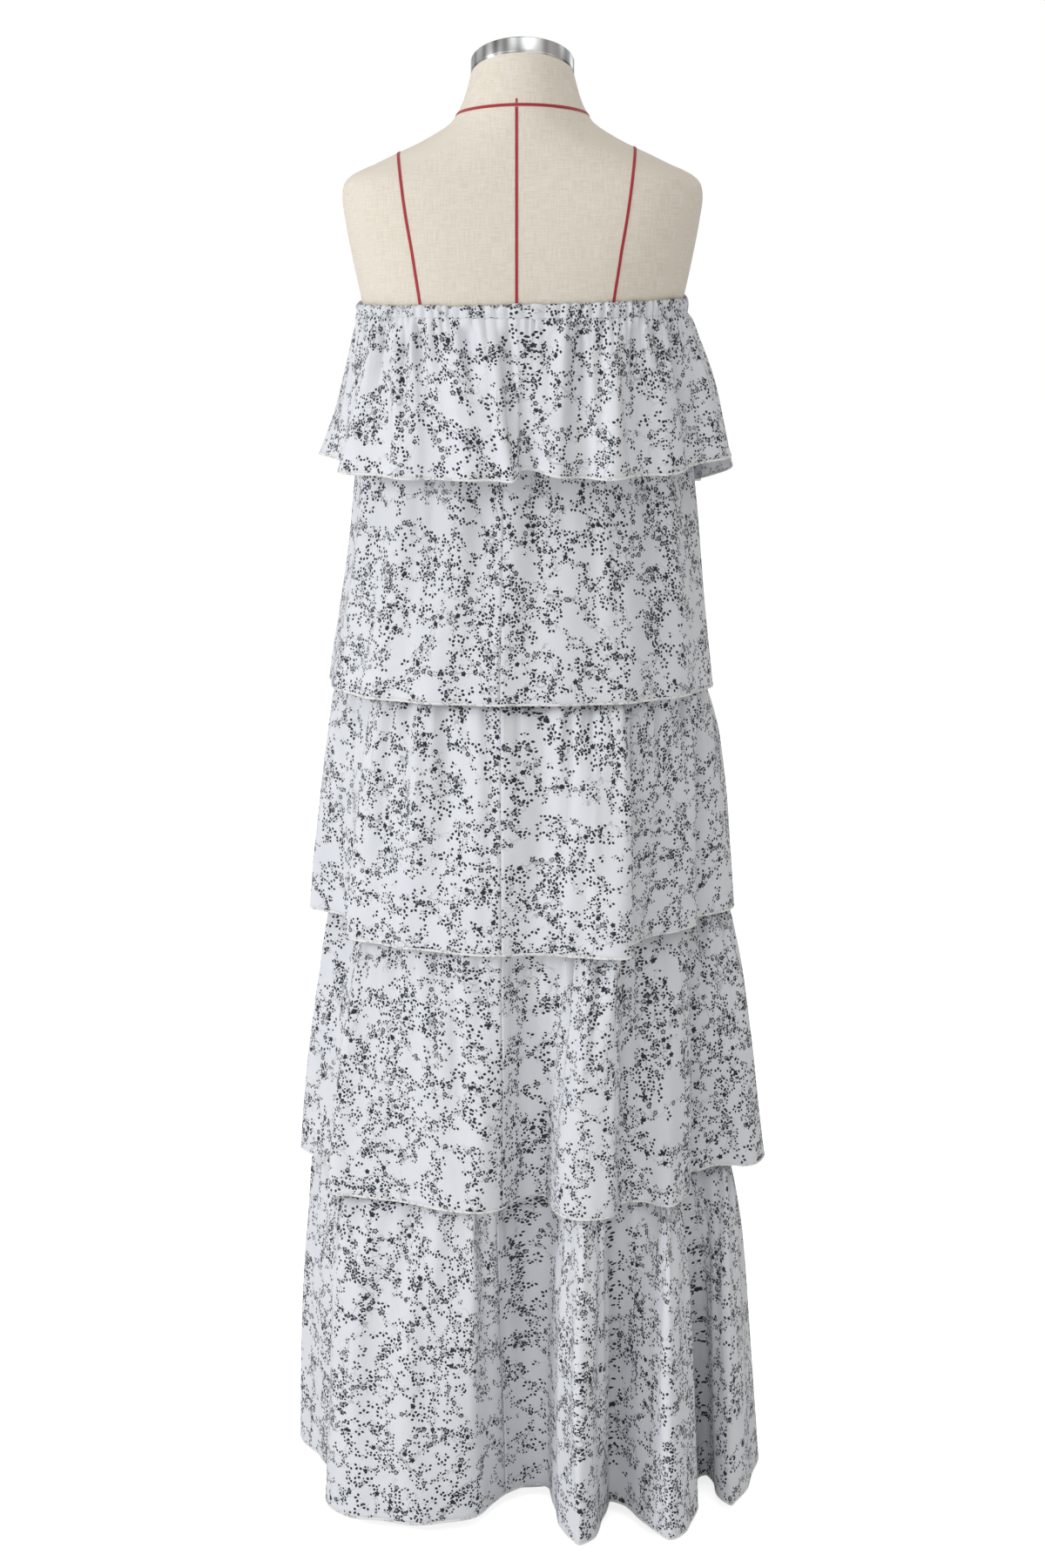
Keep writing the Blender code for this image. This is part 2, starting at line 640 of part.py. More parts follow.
def build_tape(name, tree, rays, closed=False):
    """A flat tape whose edges each lie on the form. rays holds (start, direction, across) for each point."""
    near = NECK_TAPE_GAP if closed else TAPE_GAP
    edges = []
    for start, direction, across in rays:
        pair = []
        for side in (-1, 1):
            place, normal, _, _ = tree.ray_cast(Vector(start) + across * side * TAPE_WIDTH / 2, direction)
            pair.append((place, normal))
        edges.append(pair)
    count = len(edges)
    corners = ((0, near), (1, near), (1, near + TAPE_THICK), (0, near + TAPE_THICK))

    def place(column, row):
        edge, out = corners[row % 4]
        place, normal = edges[column % count][edge]
        return place + normal * out

    grid = mapped_grid(count if closed else count - 1, 4, place)
    bmesh.ops.remove_doubles(grid, verts=grid.verts, dist=0.01 * MM)
    if not closed:
        open_edges = [edge for edge in grid.edges if edge.is_boundary]
        bmesh.ops.holes_fill(grid, edges=open_edges, sides=0)
    bmesh.ops.recalc_face_normals(grid, faces=grid.faces)
    finish_mesh(grid, name, "tape")


def neck_tape_height(turn):
    """Height of the neck tape's middle, high at the back and low at the front."""
    cosine = math.cos(2 * math.pi * turn)
    return NECK_TAPE_Z + (NECK_TAPE_RISE if cosine > 0 else NECK_TAPE_DROP) * cosine


def build_tapes(form):
    tree = BVHTree.FromObject(form, bpy.context.evaluated_depsgraph_get())
    up, right = Vector((0, 0, 1)), Vector((1, 0, 0))
    rays = []
    for i in range(NECK_TAPE_POINTS):
        turn = i / NECK_TAPE_POINTS
        out = Vector((math.sin(2 * math.pi * turn), -math.cos(2 * math.pi * turn), 0))
        start = Vector((0, NECK_TAPE_Y, neck_tape_height(turn))) + out * RAY_START
        rays.append((start, -out, up))
    build_tape("tape_neck", tree, rays, closed=True)

    for side, name in ((-1, "tape_back_centre"), (1, "tape_front_centre")):
        top = neck_tape_height(0 if side < 0 else 0.5) - TAPE_WIDTH / 2 - TAPE_CLEAR
        rays = [
            ((CENTRE_TAPE_X, side * RAY_START, z), Vector((0, -side, 0)), right)
            for z in np.linspace(TAPE_FOOT, top, CENTRE_TAPE_POINTS)
        ]
        build_tape(name, tree, rays)

    for side, name in ((-1, "tape_left"), (1, "tape_right")):
        back, over, front = [], [], []
        for z in np.linspace(TAPE_FOOT, PRINCESS_PIVOT, PRINCESS_LEG_POINTS)[:-1]:
            x = CENTRE_TAPE_X + side * (PRINCESS_X - PRINCESS_TAPER * (PRINCESS_PIVOT - z))
            back.append(((x, -RAY_START, z), Vector((0, 1, 0)), right))
            front.insert(0, ((x, RAY_START, z), Vector((0, -1, 0)), right))
        for angle in np.linspace(0, math.pi, PRINCESS_OVER_POINTS):
            x = CENTRE_TAPE_X + side * (PRINCESS_X + PRINCESS_SPREAD * math.sin(angle))
            away = Vector((0, -math.cos(angle), math.sin(angle)))
            over.append((Vector((x, PRINCESS_Y, PRINCESS_PIVOT)) + away * RAY_START, -away, right))
        build_tape(name, tree, back + over + front)


def turned(name, profile, finish):
    """A solid of revolution about Z. profile is (radius, height) from the top centre down to the foot."""
    mesh = bpy.data.meshes.new(name)
    mesh.from_pydata([(r, 0, z) for r, z in profile], [(i, i + 1) for i in range(len(profile) - 1)], [])
    made = add_object(name, mesh, finish)
    screw = made.modifiers.new("turn", "SCREW")
    screw.steps = screw.render_steps = ROUND_STEPS
    screw.use_merge_vertices = True
    screw.merge_threshold = 0.01 * MM
    screw.use_smooth_shade = True
    return made


def build_hardware():
    neck = FORM[-1]
    cap = turned(
        "neck_cap",
        [
            (0, CAP_HEIGHT + CAP_DOME),
            (CAP_DOME_RADIUS, CAP_HEIGHT + CAP_DOME * (1 - (CAP_DOME_RADIUS / CAP_RADIUS) ** 2)),
            (CAP_RADIUS - CAP_BEVEL, CAP_HEIGHT),
            (CAP_RADIUS, CAP_HEIGHT - CAP_BEVEL),
            (CAP_RADIUS, 0),
            (0, 0),
        ],
        "steel",
    )
    cap.rotation_euler.x = -NECK_TILT
    along = Vector((0, math.sin(NECK_TILT), math.cos(NECK_TILT)))
    cap.location = Vector((0, neck.lean * MM, neck.z * MM)) + along * SEAM_GAP

    foot = FORM[0].z * MM
    flange_top = foot - SEAM_GAP
    flange_foot = flange_top - FLANGE_THICK
    turned(
        "form_flange",
        [(0, flange_top), (FLANGE_RADIUS, flange_top), (FLANGE_RADIUS, flange_foot), (0, flange_foot)],
        "steel",
    )
    pole_top = flange_foot - SEAM_GAP
    socket_top = PLATE_THICK + SOCKET_HEIGHT
    pole_foot = socket_top + SEAM_GAP
    turned(
        "pole",
        [(0, pole_top), (POLE_RADIUS, pole_top), (POLE_RADIUS, pole_foot), (0, pole_foot)],
        "steel",
    )
    turned(
        "base_plate",
        [
            (0, socket_top),
            (SOCKET_RADIUS - SOCKET_BEVEL, socket_top),
            (SOCKET_RADIUS, socket_top - SOCKET_BEVEL),
            (SOCKET_RADIUS, PLATE_THICK),
            (PLATE_RADIUS - PLATE_BEVEL, PLATE_THICK),
            (PLATE_RADIUS, PLATE_THICK - PLATE_BEVEL),
            (PLATE_RADIUS, 0),
            (0, 0),
        ],
        "lacquer",
    )


clear_scene()
collection = bpy.data.collections.new("tiered_maxi_dress")
bpy.context.scene.collection.children.link(collection)
body = build_form()
build_hardware()
build_tapes(body)
build_casing()
build_ruffle()
build_skirt()
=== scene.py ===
"""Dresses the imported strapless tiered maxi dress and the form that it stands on.

Metres, +Z up. The dress's back, with its centre seam, faces -Y, and the wearer's front faces +Y. Each
sheet of cloth starts as its flat cut, a grid in metres that also gives its print and weave their place,
and is then draped from the tables of folds, with the tier below following the tier above.
"""

import logging
import math
from dataclasses import dataclass, field
from enum import Enum
from typing import NamedTuple

import bmesh
import bpy
import numpy as np
from mathutils import Matrix, Vector
from mathutils.bvhtree import BVHTree


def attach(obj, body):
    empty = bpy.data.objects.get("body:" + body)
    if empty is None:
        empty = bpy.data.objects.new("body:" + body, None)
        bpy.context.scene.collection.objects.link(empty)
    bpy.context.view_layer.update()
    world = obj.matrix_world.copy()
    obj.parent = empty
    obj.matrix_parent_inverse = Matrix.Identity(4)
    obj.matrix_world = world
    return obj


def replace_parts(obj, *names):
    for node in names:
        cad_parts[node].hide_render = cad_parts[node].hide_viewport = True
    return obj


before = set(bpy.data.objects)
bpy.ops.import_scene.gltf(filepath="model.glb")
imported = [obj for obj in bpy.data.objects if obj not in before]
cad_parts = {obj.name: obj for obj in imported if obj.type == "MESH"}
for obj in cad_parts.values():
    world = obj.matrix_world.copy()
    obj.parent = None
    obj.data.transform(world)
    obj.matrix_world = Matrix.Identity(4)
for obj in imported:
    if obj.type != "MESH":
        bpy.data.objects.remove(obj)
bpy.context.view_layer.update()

LOG = logging.getLogger("maxi_dress")
MM = 0.001
BODY = "root"

# Sizes shared with the solids
CLOTH = 1.5 * MM
SEAM_GAP = 0.3 * MM
TIER_INSET = CLOTH + 0.5 * MM
TIER_3_STEP = 4 * MM
NORMAL_STEP = 5 * MM
OVERLAP = 36 * MM
TOP_EDGE = 1.306
CASING_HEIGHT = 11 * MM
CASING_WALL = 3.6 * MM
CASING_CLEAR = 1.85 * MM
CASING_FOOT = TOP_EDGE - CASING_HEIGHT
TOP_EDGE_SLOPE = 0.018
HEM_Z = {2: 0.903, 3: 0.643, 4: 0.362, 5: 0.012}
GROWTH = {3: 0.5, 4: 0.8, 5: 0.65}
CENTRE_SEAM_TURN = -0.0115
RIGHT_SEAM_TURN = 0.27
SKIRT_COLUMN = 24 * MM
RUFFLE_COLUMNS = {"back": 52, "front": 44}
RUFFLE_SPREAD = 1.05
RUFFLE_LEAN = 1.25
BUST_LIFT = 9 * MM
BUST_REACH = 120 * MM
BUST_SHARE = 0.7
DIP_COUNT = 27
DIP_DEPTH = {1: 5 * MM, 2: 1.2 * MM, 3: 5 * MM, 4: 5 * MM, 5: 4 * MM}
DIP_DRIFT = 0.32
DIP_WEAKENING = 0.3
DIP_RISE = 26 * MM
DIP_FADE = 120 * MM
RUFFLE_DIP_RISE = 14 * MM
RUFFLE_DIP_FADE = 60 * MM
NECK_TILT = math.radians(24.5)


class Section(NamedTuple):
    """A section of the form, in millimetres, with its tilt in degrees."""

    z: float
    half_width: float
    back: float
    front: float
    square: float
    lean: float
    tilt: float


FORM = [
    Section(806, 150, 92, 92, 2.2, 0, 0),
    Section(812, 164, 105, 102, 2.2, 0, 0),
    Section(840, 171, 116, 105, 2.2, 0, 0),
    Section(900, 173, 121, 106, 2.2, 0, 0),
    Section(1000, 155, 106, 100, 2.2, 0, 0),
    Section(1090, 131, 85, 92, 2.1, 0, 0),
    Section(1170, 144, 92, 108, 2.2, 0, 0),
    Section(1235, 158, 102, 133, 2.4, 0, 0),
    Section(1300, 167, 106, 118, 2.5, 0, 0),
    Section(1340, 175, 106, 98, 2.6, 0, 0),
    Section(1383, 183, 101, 82, 2.8, 0, 0),
    Section(1412, 187, 94, 73, 2.8, 0, 0),
    Section(1426, 185, 89, 68, 2.7, 0, 0),
    Section(1436, 175, 84, 64, 2.6, 0, 0),
    Section(1446, 153, 79.5, 61, 2.4, 0, 0),
    Section(1457, 130, 75, 58, 2.3, 0, 0),
    Section(1467, 108, 71, 56, 2.2, 0, 0),
    Section(1478, 88, 67, 55, 2.1, 1, 0),
    Section(1488, 73.5, 64, 54, 2.0, 2, 1),
    Section(1499, 66, 61, 54, 2.0, 4, 5),
    Section(1512, 60, 57.5, 54, 2.0, 7, 12),
    Section(1534, 53.5, 53.5, 53.5, 2.0, 12, 24.5),
]


class Ring(NamedTuple):
    """A section of tier 2, in millimetres."""

    z: float
    left: float
    right: float
    back: float
    front: float
    square: float


TIER_2 = [
    Ring(1240, 167, 167, 109, 142, 2.45),
    Ring(1095, 178, 181, 125, 145, 2.4),
    Ring(903, 208, 205, 152, 152, 2.4),
]


class Fold(NamedTuple):
    """A ridge or valley of the skirt: its place at three hems, and the step of the tier below inside it."""

    name: str
    hem3: tuple[float, float]
    hem4: tuple[float, float]
    hem5: tuple[float, float]
    step3: float
    step4: float


FOLDS = [
    Fold("centre_back_seam", (-22, -181), (-22, -180), (-19, -152), 5, 4),
    Fold("centre_valley", (10, -178), (4, -150), (4, -137), 5, 4),
    Fold("centre_valley_end", (34, -176), (24, -146), (27, -138), 5, 4),
    Fold("right_ridge_near", (50, -184), (32, -190), (36, -205), 5, 4),
    Fold("right_ridge", (78, -191), (62, -213), (60, -263), 5, 4),
    Fold("right_ridge_far", (113, -187), (92, -207), (84, -226), 5, 4),
    Fold("second_valley", (112, -150), (104, -170), (96, -168), 5, 4),
    Fold("outer_ridge_near", (128, -122), (131, -163), (124, -200), 5, 2),
    Fold("outer_ridge", (160, -96), (158, -175), (158, -250), 5, 2),
    Fold("outer_ridge_far", (190, -66), (179, -145), (188, -207), 5, 2),
    Fold("side_valley", (189, -38), (180, -84), (196, -112), 5, 8),
    Fold("side_valley_far", (198, -30), (196, -72), (207, -108), 5, 10),
    Fold("right_side_near", (209, -24), (214, -58), (213, -147), 3, 14),
    Fold("right_side_ridge", (228, -10), (252, -58), (230, -179), 2, 24),
    Fold("right_side_far", (236, 15), (273, -22), (263, -92), 2, 34),
    Fold("right_side_seam", (229, 48), (263, 24), (269, -26), 3, 32),
    Fold("right_front_valley", (205, 74), (238, 58), (240, 16), 5, 20),
    Fold("right_front_ridge", (198, 116), (236, 104), (248, 72), 5, 12),
    Fold("front_valley_1", (160, 118), (180, 118), (196, 98), 5, 6),
    Fold("front_ridge_1", (130, 166), (152, 178), (170, 172), 5, 5),
    Fold("front_valley_2", (84, 150), (98, 148), (112, 140), 5, 5),
    Fold("front_ridge_2", (46, 190), (56, 206), (66, 226), 5, 5),
    Fold("front_valley_3", (0, 164), (4, 164), (10, 158), 5, 5),
    Fold("front_ridge_3", (-46, 190), (-46, 208), (-48, 226), 5, 5),
    Fold("front_valley_4", (-88, 152), (-92, 150), (-98, 142), 5, 5),
    Fold("front_ridge_4", (-134, 164), (-148, 176), (-158, 182), 6, 5),
    Fold("front_valley_5", (-164, 116), (-178, 114), (-190, 108), 8, 6),
    Fold("left_front_ridge", (-204, 104), (-226, 98), (-240, 92), 10, 8),
    Fold("left_side_seam", (-212, 60), (-226, 52), (-240, 46), 12, 9),
    Fold("left_side_ridge", (-237, 8), (-252, 4), (-260, -2), 13, 9),
    Fold("left_side_near", (-213, -18), (-236, -24), (-242, -50), 13, 8),
    Fold("left_side_valley", (-182, -52), (-206, -74), (-214, -100), 8, 6),
    Fold("left_panel_corner", (-186, -114), (-208, -138), (-213, -184), 5, 5),
    Fold("left_panel_outer", (-148, -140), (-142, -158), (-164, -209), 5, 5),
    Fold("left_panel_inner", (-98, -165), (-86, -184), (-94, -218), 5, 5),
    Fold("centre_ridge", (-60, -176), (-48, -197), (-48, -199), 5, 5),
]
FOLD_NAMES = [fold.name for fold in FOLDS]
FOLD_COUNT = len(FOLDS)
RIGHT_SEAM = FOLD_NAMES.index("right_side_seam")
LEFT_SEAM = FOLD_NAMES.index("left_side_seam")


class Wave(NamedTuple):
    """A point of the ruffle's hem, in millimetres."""

    name: str
    x: float
    y: float
    z: float


RUFFLE = [
    Wave("centre_tuck", 2, -146, 1146),
    Wave("right_wave_1", 36, -160, 1139),
    Wave("right_dip_1", 60, -149, 1137),
    Wave("right_wave_2", 88, -160, 1136),
    Wave("right_dip_2", 118, -138, 1138),
    Wave("right_wave_3", 152, -128, 1138),
    Wave("right_dip_3", 172, -92, 1142),
    Wave("right_wave_4", 206, -60, 1146),
    Wave("right_tip", 222, -14, 1147),
    Wave("right_seam", 222, 26, 1128),
    Wave("right_front_dip", 192, 60, 1112),
    Wave("right_front_wave", 194, 108, 1106),
    Wave("front_dip_1", 154, 120, 1108),
    Wave("front_wave_1", 132, 164, 1110),
    Wave("front_dip_2", 88, 156, 1116),
    Wave("front_wave_2", 52, 190, 1120),
    Wave("front_dip_3", 6, 166, 1122),
    Wave("front_wave_3", -44, 191, 1120),
    Wave("front_dip_4", -84, 158, 1118),
    Wave("front_wave_4", -130, 165, 1118),
    Wave("front_dip_5", -154, 120, 1122),
    Wave("left_front_wave", -194, 102, 1130),
    Wave("left_front_dip", -192, 56, 1136),
    Wave("left_seam", -213, 22, 1144),
    Wave("left_tip", -214, -16, 1146),
    Wave("left_tuck", -186, -50, 1142),
    Wave("left_corner", -190, -102, 1137),
    Wave("left_dip_1", -152, -124, 1137),
    Wave("left_wave_2", -126, -154, 1136),
    Wave("left_dip_2", -92, -150, 1136),
    Wave("left_wave_3", -58, -169, 1136),
    Wave("left_dip_3", -28, -158, 1136),
    Wave("centre_wave", -6, -171, 1136),
]
WAVE_NAMES = [wave.name for wave in RUFFLE]
RUFFLE_RIGHT = WAVE_NAMES.index("right_seam")
RUFFLE_LEFT = WAVE_NAMES.index("left_seam")


class Crease(NamedTuple):
    """A listed crease: where it starts and ends down a tier, and its size in millimetres."""

    tier: int
    fold: float
    top: float
    foot: float
    width: float
    depth: float
    lean: float


class RuffleCrease(NamedTuple):
    """A crease of the ruffle: where it meets the hem, on which side, and its size in millimetres."""

    x: float
    back: bool
    top: float
    foot: float
    width: float
    depth: float
    lean: float


RUFFLE_CREASES = [
    RuffleCrease(-165, True, 0.02, 0.6, 8, 3.6, 6),
    RuffleCrease(-115, True, 0.1, 1.0, 9, 3.0, -8),
    RuffleCrease(-98, True, 0.02, 0.45, 8, 4.2, 4),
    RuffleCrease(-38, True, 0.02, 0.55, 9, 5.0, 8),
    RuffleCrease(-6, True, 0.02, 1.2, 7, 5.0, 12),
    RuffleCrease(56, True, 0.02, 0.75, 9, 5.0, -10),
    RuffleCrease(84, True, 0.3, 1.1, 8, 2.6, -6),
    RuffleCrease(112, True, 0.02, 0.6, 8, 4.6, 5),
    RuffleCrease(152, True, 0.02, 0.45, 8, 4.0, -4),
    RuffleCrease(196, True, 0.05, 0.8, 9, 3.6, 6),
    RuffleCrease(-185, False, 0.02, 0.7, 9, 4.0, -6),
    RuffleCrease(-130, False, 0.02, 0.5, 8, 4.4, 8),
    RuffleCrease(-84, False, 0.2, 1.1, 9, 3.0, -8),
    RuffleCrease(-42, False, 0.02, 0.6, 8, 4.8, 5),
    RuffleCrease(12, False, 0.02, 0.9, 9, 4.6, -9),
    RuffleCrease(64, False, 0.02, 0.5, 8, 4.6, 6),
    RuffleCrease(108, False, 0.1, 1.1, 9, 3.2, 8),
    RuffleCrease(160, False, 0.02, 0.65, 8, 4.2, -5),
]

CREASES = [
    Crease(2, 33.1, 0.0, 1.0, 9, 3.2, 10),
    Crease(2, 33.6, 0.1, 0.8, 14, -2.2, -12),
    Crease(2, 34.5, 0.2, 1.0, 12, 2.2, 14),
    Crease(2, 35.3, 0.0, 0.7, 10, -1.8, 8),
    Crease(2, 0.5, 0.1, 0.9, 13, 1.8, -10),
    Crease(2, 1.9, 0.0, 0.75, 10, -2.0, 12),
    Crease(2, 4.3, 0.15, 1.0, 9, 3.2, -8),
    Crease(2, 5.2, 0.0, 0.8, 13, -2.4, 10),
    Crease(2, 7.5, 0.2, 1.0, 12, 2.4, 12),
    Crease(2, 13.0, 0.0, 0.9, 14, 2.6, 10),
    Crease(2, 19.5, 0.1, 1.0, 12, 2.4, -14),
    Crease(2, 21.5, 0.0, 0.8, 11, -2.2, 10),
    Crease(2, 23.5, 0.2, 1.0, 13, 2.6, 12),
    Crease(2, 26.0, 0.0, 0.9, 11, -2.0, -8),
    Crease(2, 30.2, 0.1, 1.0, 12, 2.4, 10),
    Crease(3, 33.4, 0.0, 0.8, 8, 3.0, 6),
    Crease(3, 34.4, 0.0, 0.6, 10, -3.0, 12),
    Crease(3, 35.4, 0.1, 1.0, 9, 2.2, -10),
    Crease(3, 2.4, 0.0, 0.7, 12, -3.4, 10),
    Crease(3, 3.4, 0.0, 0.9, 8, 3.0, 6),
    Crease(3, 5.1, 0.0, 0.6, 9, -3.0, 10),
    Crease(3, 8.2, 0.0, 0.8, 9, 2.8, 8),
    Crease(3, 14.4, 0.0, 0.9, 10, 2.8, -8),
    Crease(3, 18.5, 0.0, 0.7, 9, -2.6, 10),
    Crease(3, 20.6, 0.1, 1.0, 10, 2.8, 10),
    Crease(3, 23.4, 0.0, 0.8, 9, -2.8, -8),
    Crease(3, 25.3, 0.0, 0.9, 9, 2.8, 8),
    Crease(3, 30.5, 0.0, 0.8, 9, 2.6, 10),
    Crease(4, 33.5, 0.0, 0.9, 9, 3.0, 14),
    Crease(4, 34.5, 0.1, 0.7, 8, -2.8, 8),
    Crease(4, 35.5, 0.0, 1.0, 9, 2.8, -12),
    Crease(4, 3.6, 0.0, 0.8, 9, 3.2, 10),
    Crease(4, 4.6, 0.0, 1.0, 8, -2.6, 12),
    Crease(4, 6.6, 0.0, 0.7, 9, -3.0, 6),
    Crease(4, 8.3, 0.0, 0.9, 9, 3.0, 10),
    Crease(4, 13.5, 0.1, 0.9, 10, 3.0, 8),
    Crease(4, 17.4, 0.0, 0.8, 9, -2.8, 10),
    Crease(4, 19.5, 0.0, 1.0, 10, 2.8, -10),
    Crease(4, 22.6, 0.0, 0.8, 9, -2.8, 10),
    Crease(4, 24.6, 0.1, 0.9, 9, 2.8, 12),
    Crease(4, 27.5, 0.0, 0.9, 10, 2.8, -8),
    Crease(4, 31.5, 0.0, 0.8, 9, 2.8, 10),
    Crease(5, 32.5, 0.0, 0.8, 10, 3.2, 12),
    Crease(5, 33.5, 0.0, 1.0, 10, -3.0, 10),
    Crease(5, 34.6, 0.1, 0.9, 9, 3.2, -12),
    Crease(5, 35.6, 0.0, 0.7, 8, -2.8, 8),
    Crease(5, 3.4, 0.0, 0.9, 9, 3.2, 10),
    Crease(5, 4.6, 0.0, 1.0, 10, 3.0, 12),
    Crease(5, 7.4, 0.0, 0.9, 9, 3.0, 8),
    Crease(5, 8.6, 0.1, 1.0, 9, -2.8, 10),
    Crease(5, 12.5, 0.0, 0.9, 10, 3.0, 10),
    Crease(5, 16.5, 0.0, 0.9, 10, -3.0, -8),
    Crease(5, 18.6, 0.0, 1.0, 10, 3.0, 10),
    Crease(5, 20.5, 0.1, 0.9, 9, 2.8, 10),
    Crease(5, 22.5, 0.0, 0.8, 10, -2.8, -12),
    Crease(5, 24.4, 0.0, 1.0, 10, 3.0, 10),
    Crease(5, 26.6, 0.0, 0.9, 9, 2.8, 10),
    Crease(5, 29.5, 0.1, 1.0, 10, -2.8, 8),
]


def cubic(
    start: np.ndarray, end: np.ndarray, start_slope: np.ndarray, end_slope: np.ndarray, f: np.ndarray
) -> np.ndarray:
    """A cubic between two values with given slopes, read where f goes from 0 to 1.

    Args:
        start: Values at 0.
        end: Values at 1.
        start_slope: Slopes at 0.
        end_slope: Slopes at 1.
        f: Where to read it.

    Returns:
        The cubic's values.
    """
    return (
        start * (2 * f**3 - 3 * f**2 + 1)
        + end * (3 * f**2 - 2 * f**3)
        + start_slope * (f**3 - 2 * f**2 + f)
        + end_slope * (f**3 - f**2)
    )


def smooth_columns(table: list[NamedTuple], at: np.ndarray | float) -> np.ndarray:
    """Reads each column of a table between its rows, by a cubic that never overshoots them.

    Args:
        table: Rows of numbers.
        at: Fractional row numbers.

    Returns:
        The columns' values, with one row for each number in at.
    """
    values = np.array([list(row) for row in table], float)
    steps = np.diff(values, axis=0)
    slopes = np.zeros_like(values)
    product = steps[:-1] * steps[1:]
    total = steps[:-1] + steps[1:]
    slopes[1:-1] = np.where(product > 0, 2 * product / np.where(total == 0, 1, total), 0)
    slopes[0], slopes[-1] = steps[0], steps[-1]
    at = np.clip(np.asarray(at, float), 0, len(values) - 1)
    low = np.minimum(at.astype(int), len(values) - 2)
    f = (at - low)[..., None]
    a, b, ma, mb = values[low], values[low + 1], slopes[low], slopes[low + 1]
    return cubic(a, b, ma, mb, f)


def outline(
    turn: np.ndarray, left: float, right: float, back: float, front: float, square: float
) -> tuple[np.ndarray, np.ndarray]:
    """A rounded outline in plan.

    Args:
        turn: Places round it, from 0 at the back, to the right, in whole turns.
        left: Half width on the left.
        right: Half width on the right.
        back: Depth behind the pole.
        front: Depth in front of it.
        square: The outline's exponent, 2 for an ellipse and more for a squarer one.

    Returns:
        The x and y of each place.
    """
    angle = 2 * math.pi * np.asarray(turn)
    s, c = np.sin(angle), np.cos(angle)
    across = np.sign(s) * np.abs(s) ** (2 / square)
    along = np.sign(c) * np.abs(c) ** (2 / square)
    return np.where(s > 0, right, left) * across, -np.where(c > 0, back, front) * along


def outward(loop: np.ndarray) -> np.ndarray:
    """Unit normals, in plan, of a closed loop of points that runs counter-clockwise."""
    along = np.roll(loop, -1, axis=-2) - np.roll(loop, 1, axis=-2)
    normal = np.stack([along[..., 1], -along[..., 0]], axis=-1)
    return normal / np.linalg.norm(normal, axis=-1, keepdims=True)


def loop_through(points: np.ndarray, knots: np.ndarray) -> np.ndarray:
    """A smooth closed curve through points.

    Args:
        points: The points, one a row.
        knots: Where to read it; a whole number is a point.

    Returns:
        The curve's points, one for each knot.
    """
    points = np.asarray(points, float)
    count = len(points)
    low = np.floor(knots).astype(int)
    f = (knots - low)[:, None]
    p0, p1, p2, p3 = (points[(low + i) % count] for i in (-1, 0, 1, 2))
    d1, d2, d3 = (
        np.sqrt(np.linalg.norm(b - a, axis=1))[:, None] for a, b in ((p0, p1), (p1, p2), (p2, p3))
    )
    m1 = ((p1 - p0) / d1 - (p2 - p0) / (d1 + d2) + (p2 - p1) / d2) * d2
    m2 = ((p2 - p1) / d2 - (p3 - p1) / (d2 + d3) + (p3 - p2) / d3) * d2
    return cubic(p1, p2, m1, m2, f)


def travelled_along(points: np.ndarray) -> np.ndarray:
    """Distance travelled at each of a row of points."""
    steps = np.linalg.norm(np.diff(points, axis=0), axis=1)
    return np.concatenate([[0], np.cumsum(steps)])


def sewn_turns(
    rows: list[tuple[float, float]], knots: np.ndarray, pins: tuple[int, ...], turns: tuple[float, ...]
) -> np.ndarray:
    """How far round the casing each knot is sewn.

    Args:
        rows: The hem's points.
        knots: Places along the hem.
        pins: Rows whose place on the casing is known.
        turns: Those places, in whole turns.

    Returns:
        The turn of each knot, with the cloth between two pins shared evenly.
    """
    fine = np.linspace(0, len(rows), 40 * len(rows) + 1)
    travelled = travelled_along(loop_through(rows, fine))
    at = np.interp(knots % len(rows), fine, travelled)
    return np.interp(at, np.interp(pins, fine, travelled), turns)


def fold_knots(curve: list[tuple[float, float]], start: int, end: int) -> list[float]:
    """Knots from start to end: each fold's own, and more between two folds that lie far apart."""
    knots: list[float] = []
    for fold in range(start, end):
        fine = loop_through(curve, np.linspace(fold, fold + 1, 9))
        columns = max(2, round(travelled_along(fine)[-1] * MM / SKIRT_COLUMN))
        knots.extend(fold + np.arange(columns) / columns)
    return knots


def even_knots(curve: list[tuple[float, float]], start: int, end: int, columns: int) -> np.ndarray:
    """Knots from start to end, with even lengths of cloth between them."""
    fine = np.linspace(start, end, 40 * columns + 1)
    travelled = travelled_along(loop_through(curve, fine))
    return np.interp(np.linspace(0, travelled[-1], columns + 1), travelled, fine)


def rise(x: np.ndarray | float, width: float) -> np.ndarray:
    """Grows smoothly from 0 to 1 as x goes from 0 to width."""
    t = np.clip(np.asarray(x) / width, 0, 1)
    return t * t * (3 - 2 * t)


def form_ring(turn: np.ndarray, z: float, out: float = 0.0) -> np.ndarray:
    """Plan of the form at a height, moved out, one point for each turn."""
    rows = np.interp(z / MM, [s.z for s in FORM], range(len(FORM)))
    _, half, back, front, square, lean, _ = smooth_columns(FORM, rows)
    grow = out / MM
    x, y = outline(turn, half + grow, half + grow, back + grow, front + grow, square)
    return np.stack([x, y + lean], axis=-1) * MM


def form_points(turn: np.ndarray, row: np.ndarray) -> np.ndarray:
    """Points of the form's surface at turns and fractional rows of its table."""
    z, half, back, front, square, lean, tilt = smooth_columns(FORM, row).T
    x, y = outline(turn, half, half, back, front, square)
    tilt = np.radians(tilt)
    return np.stack([x, y * np.cos(tilt) + lean, z - y * np.sin(tilt)], axis=-1) * MM


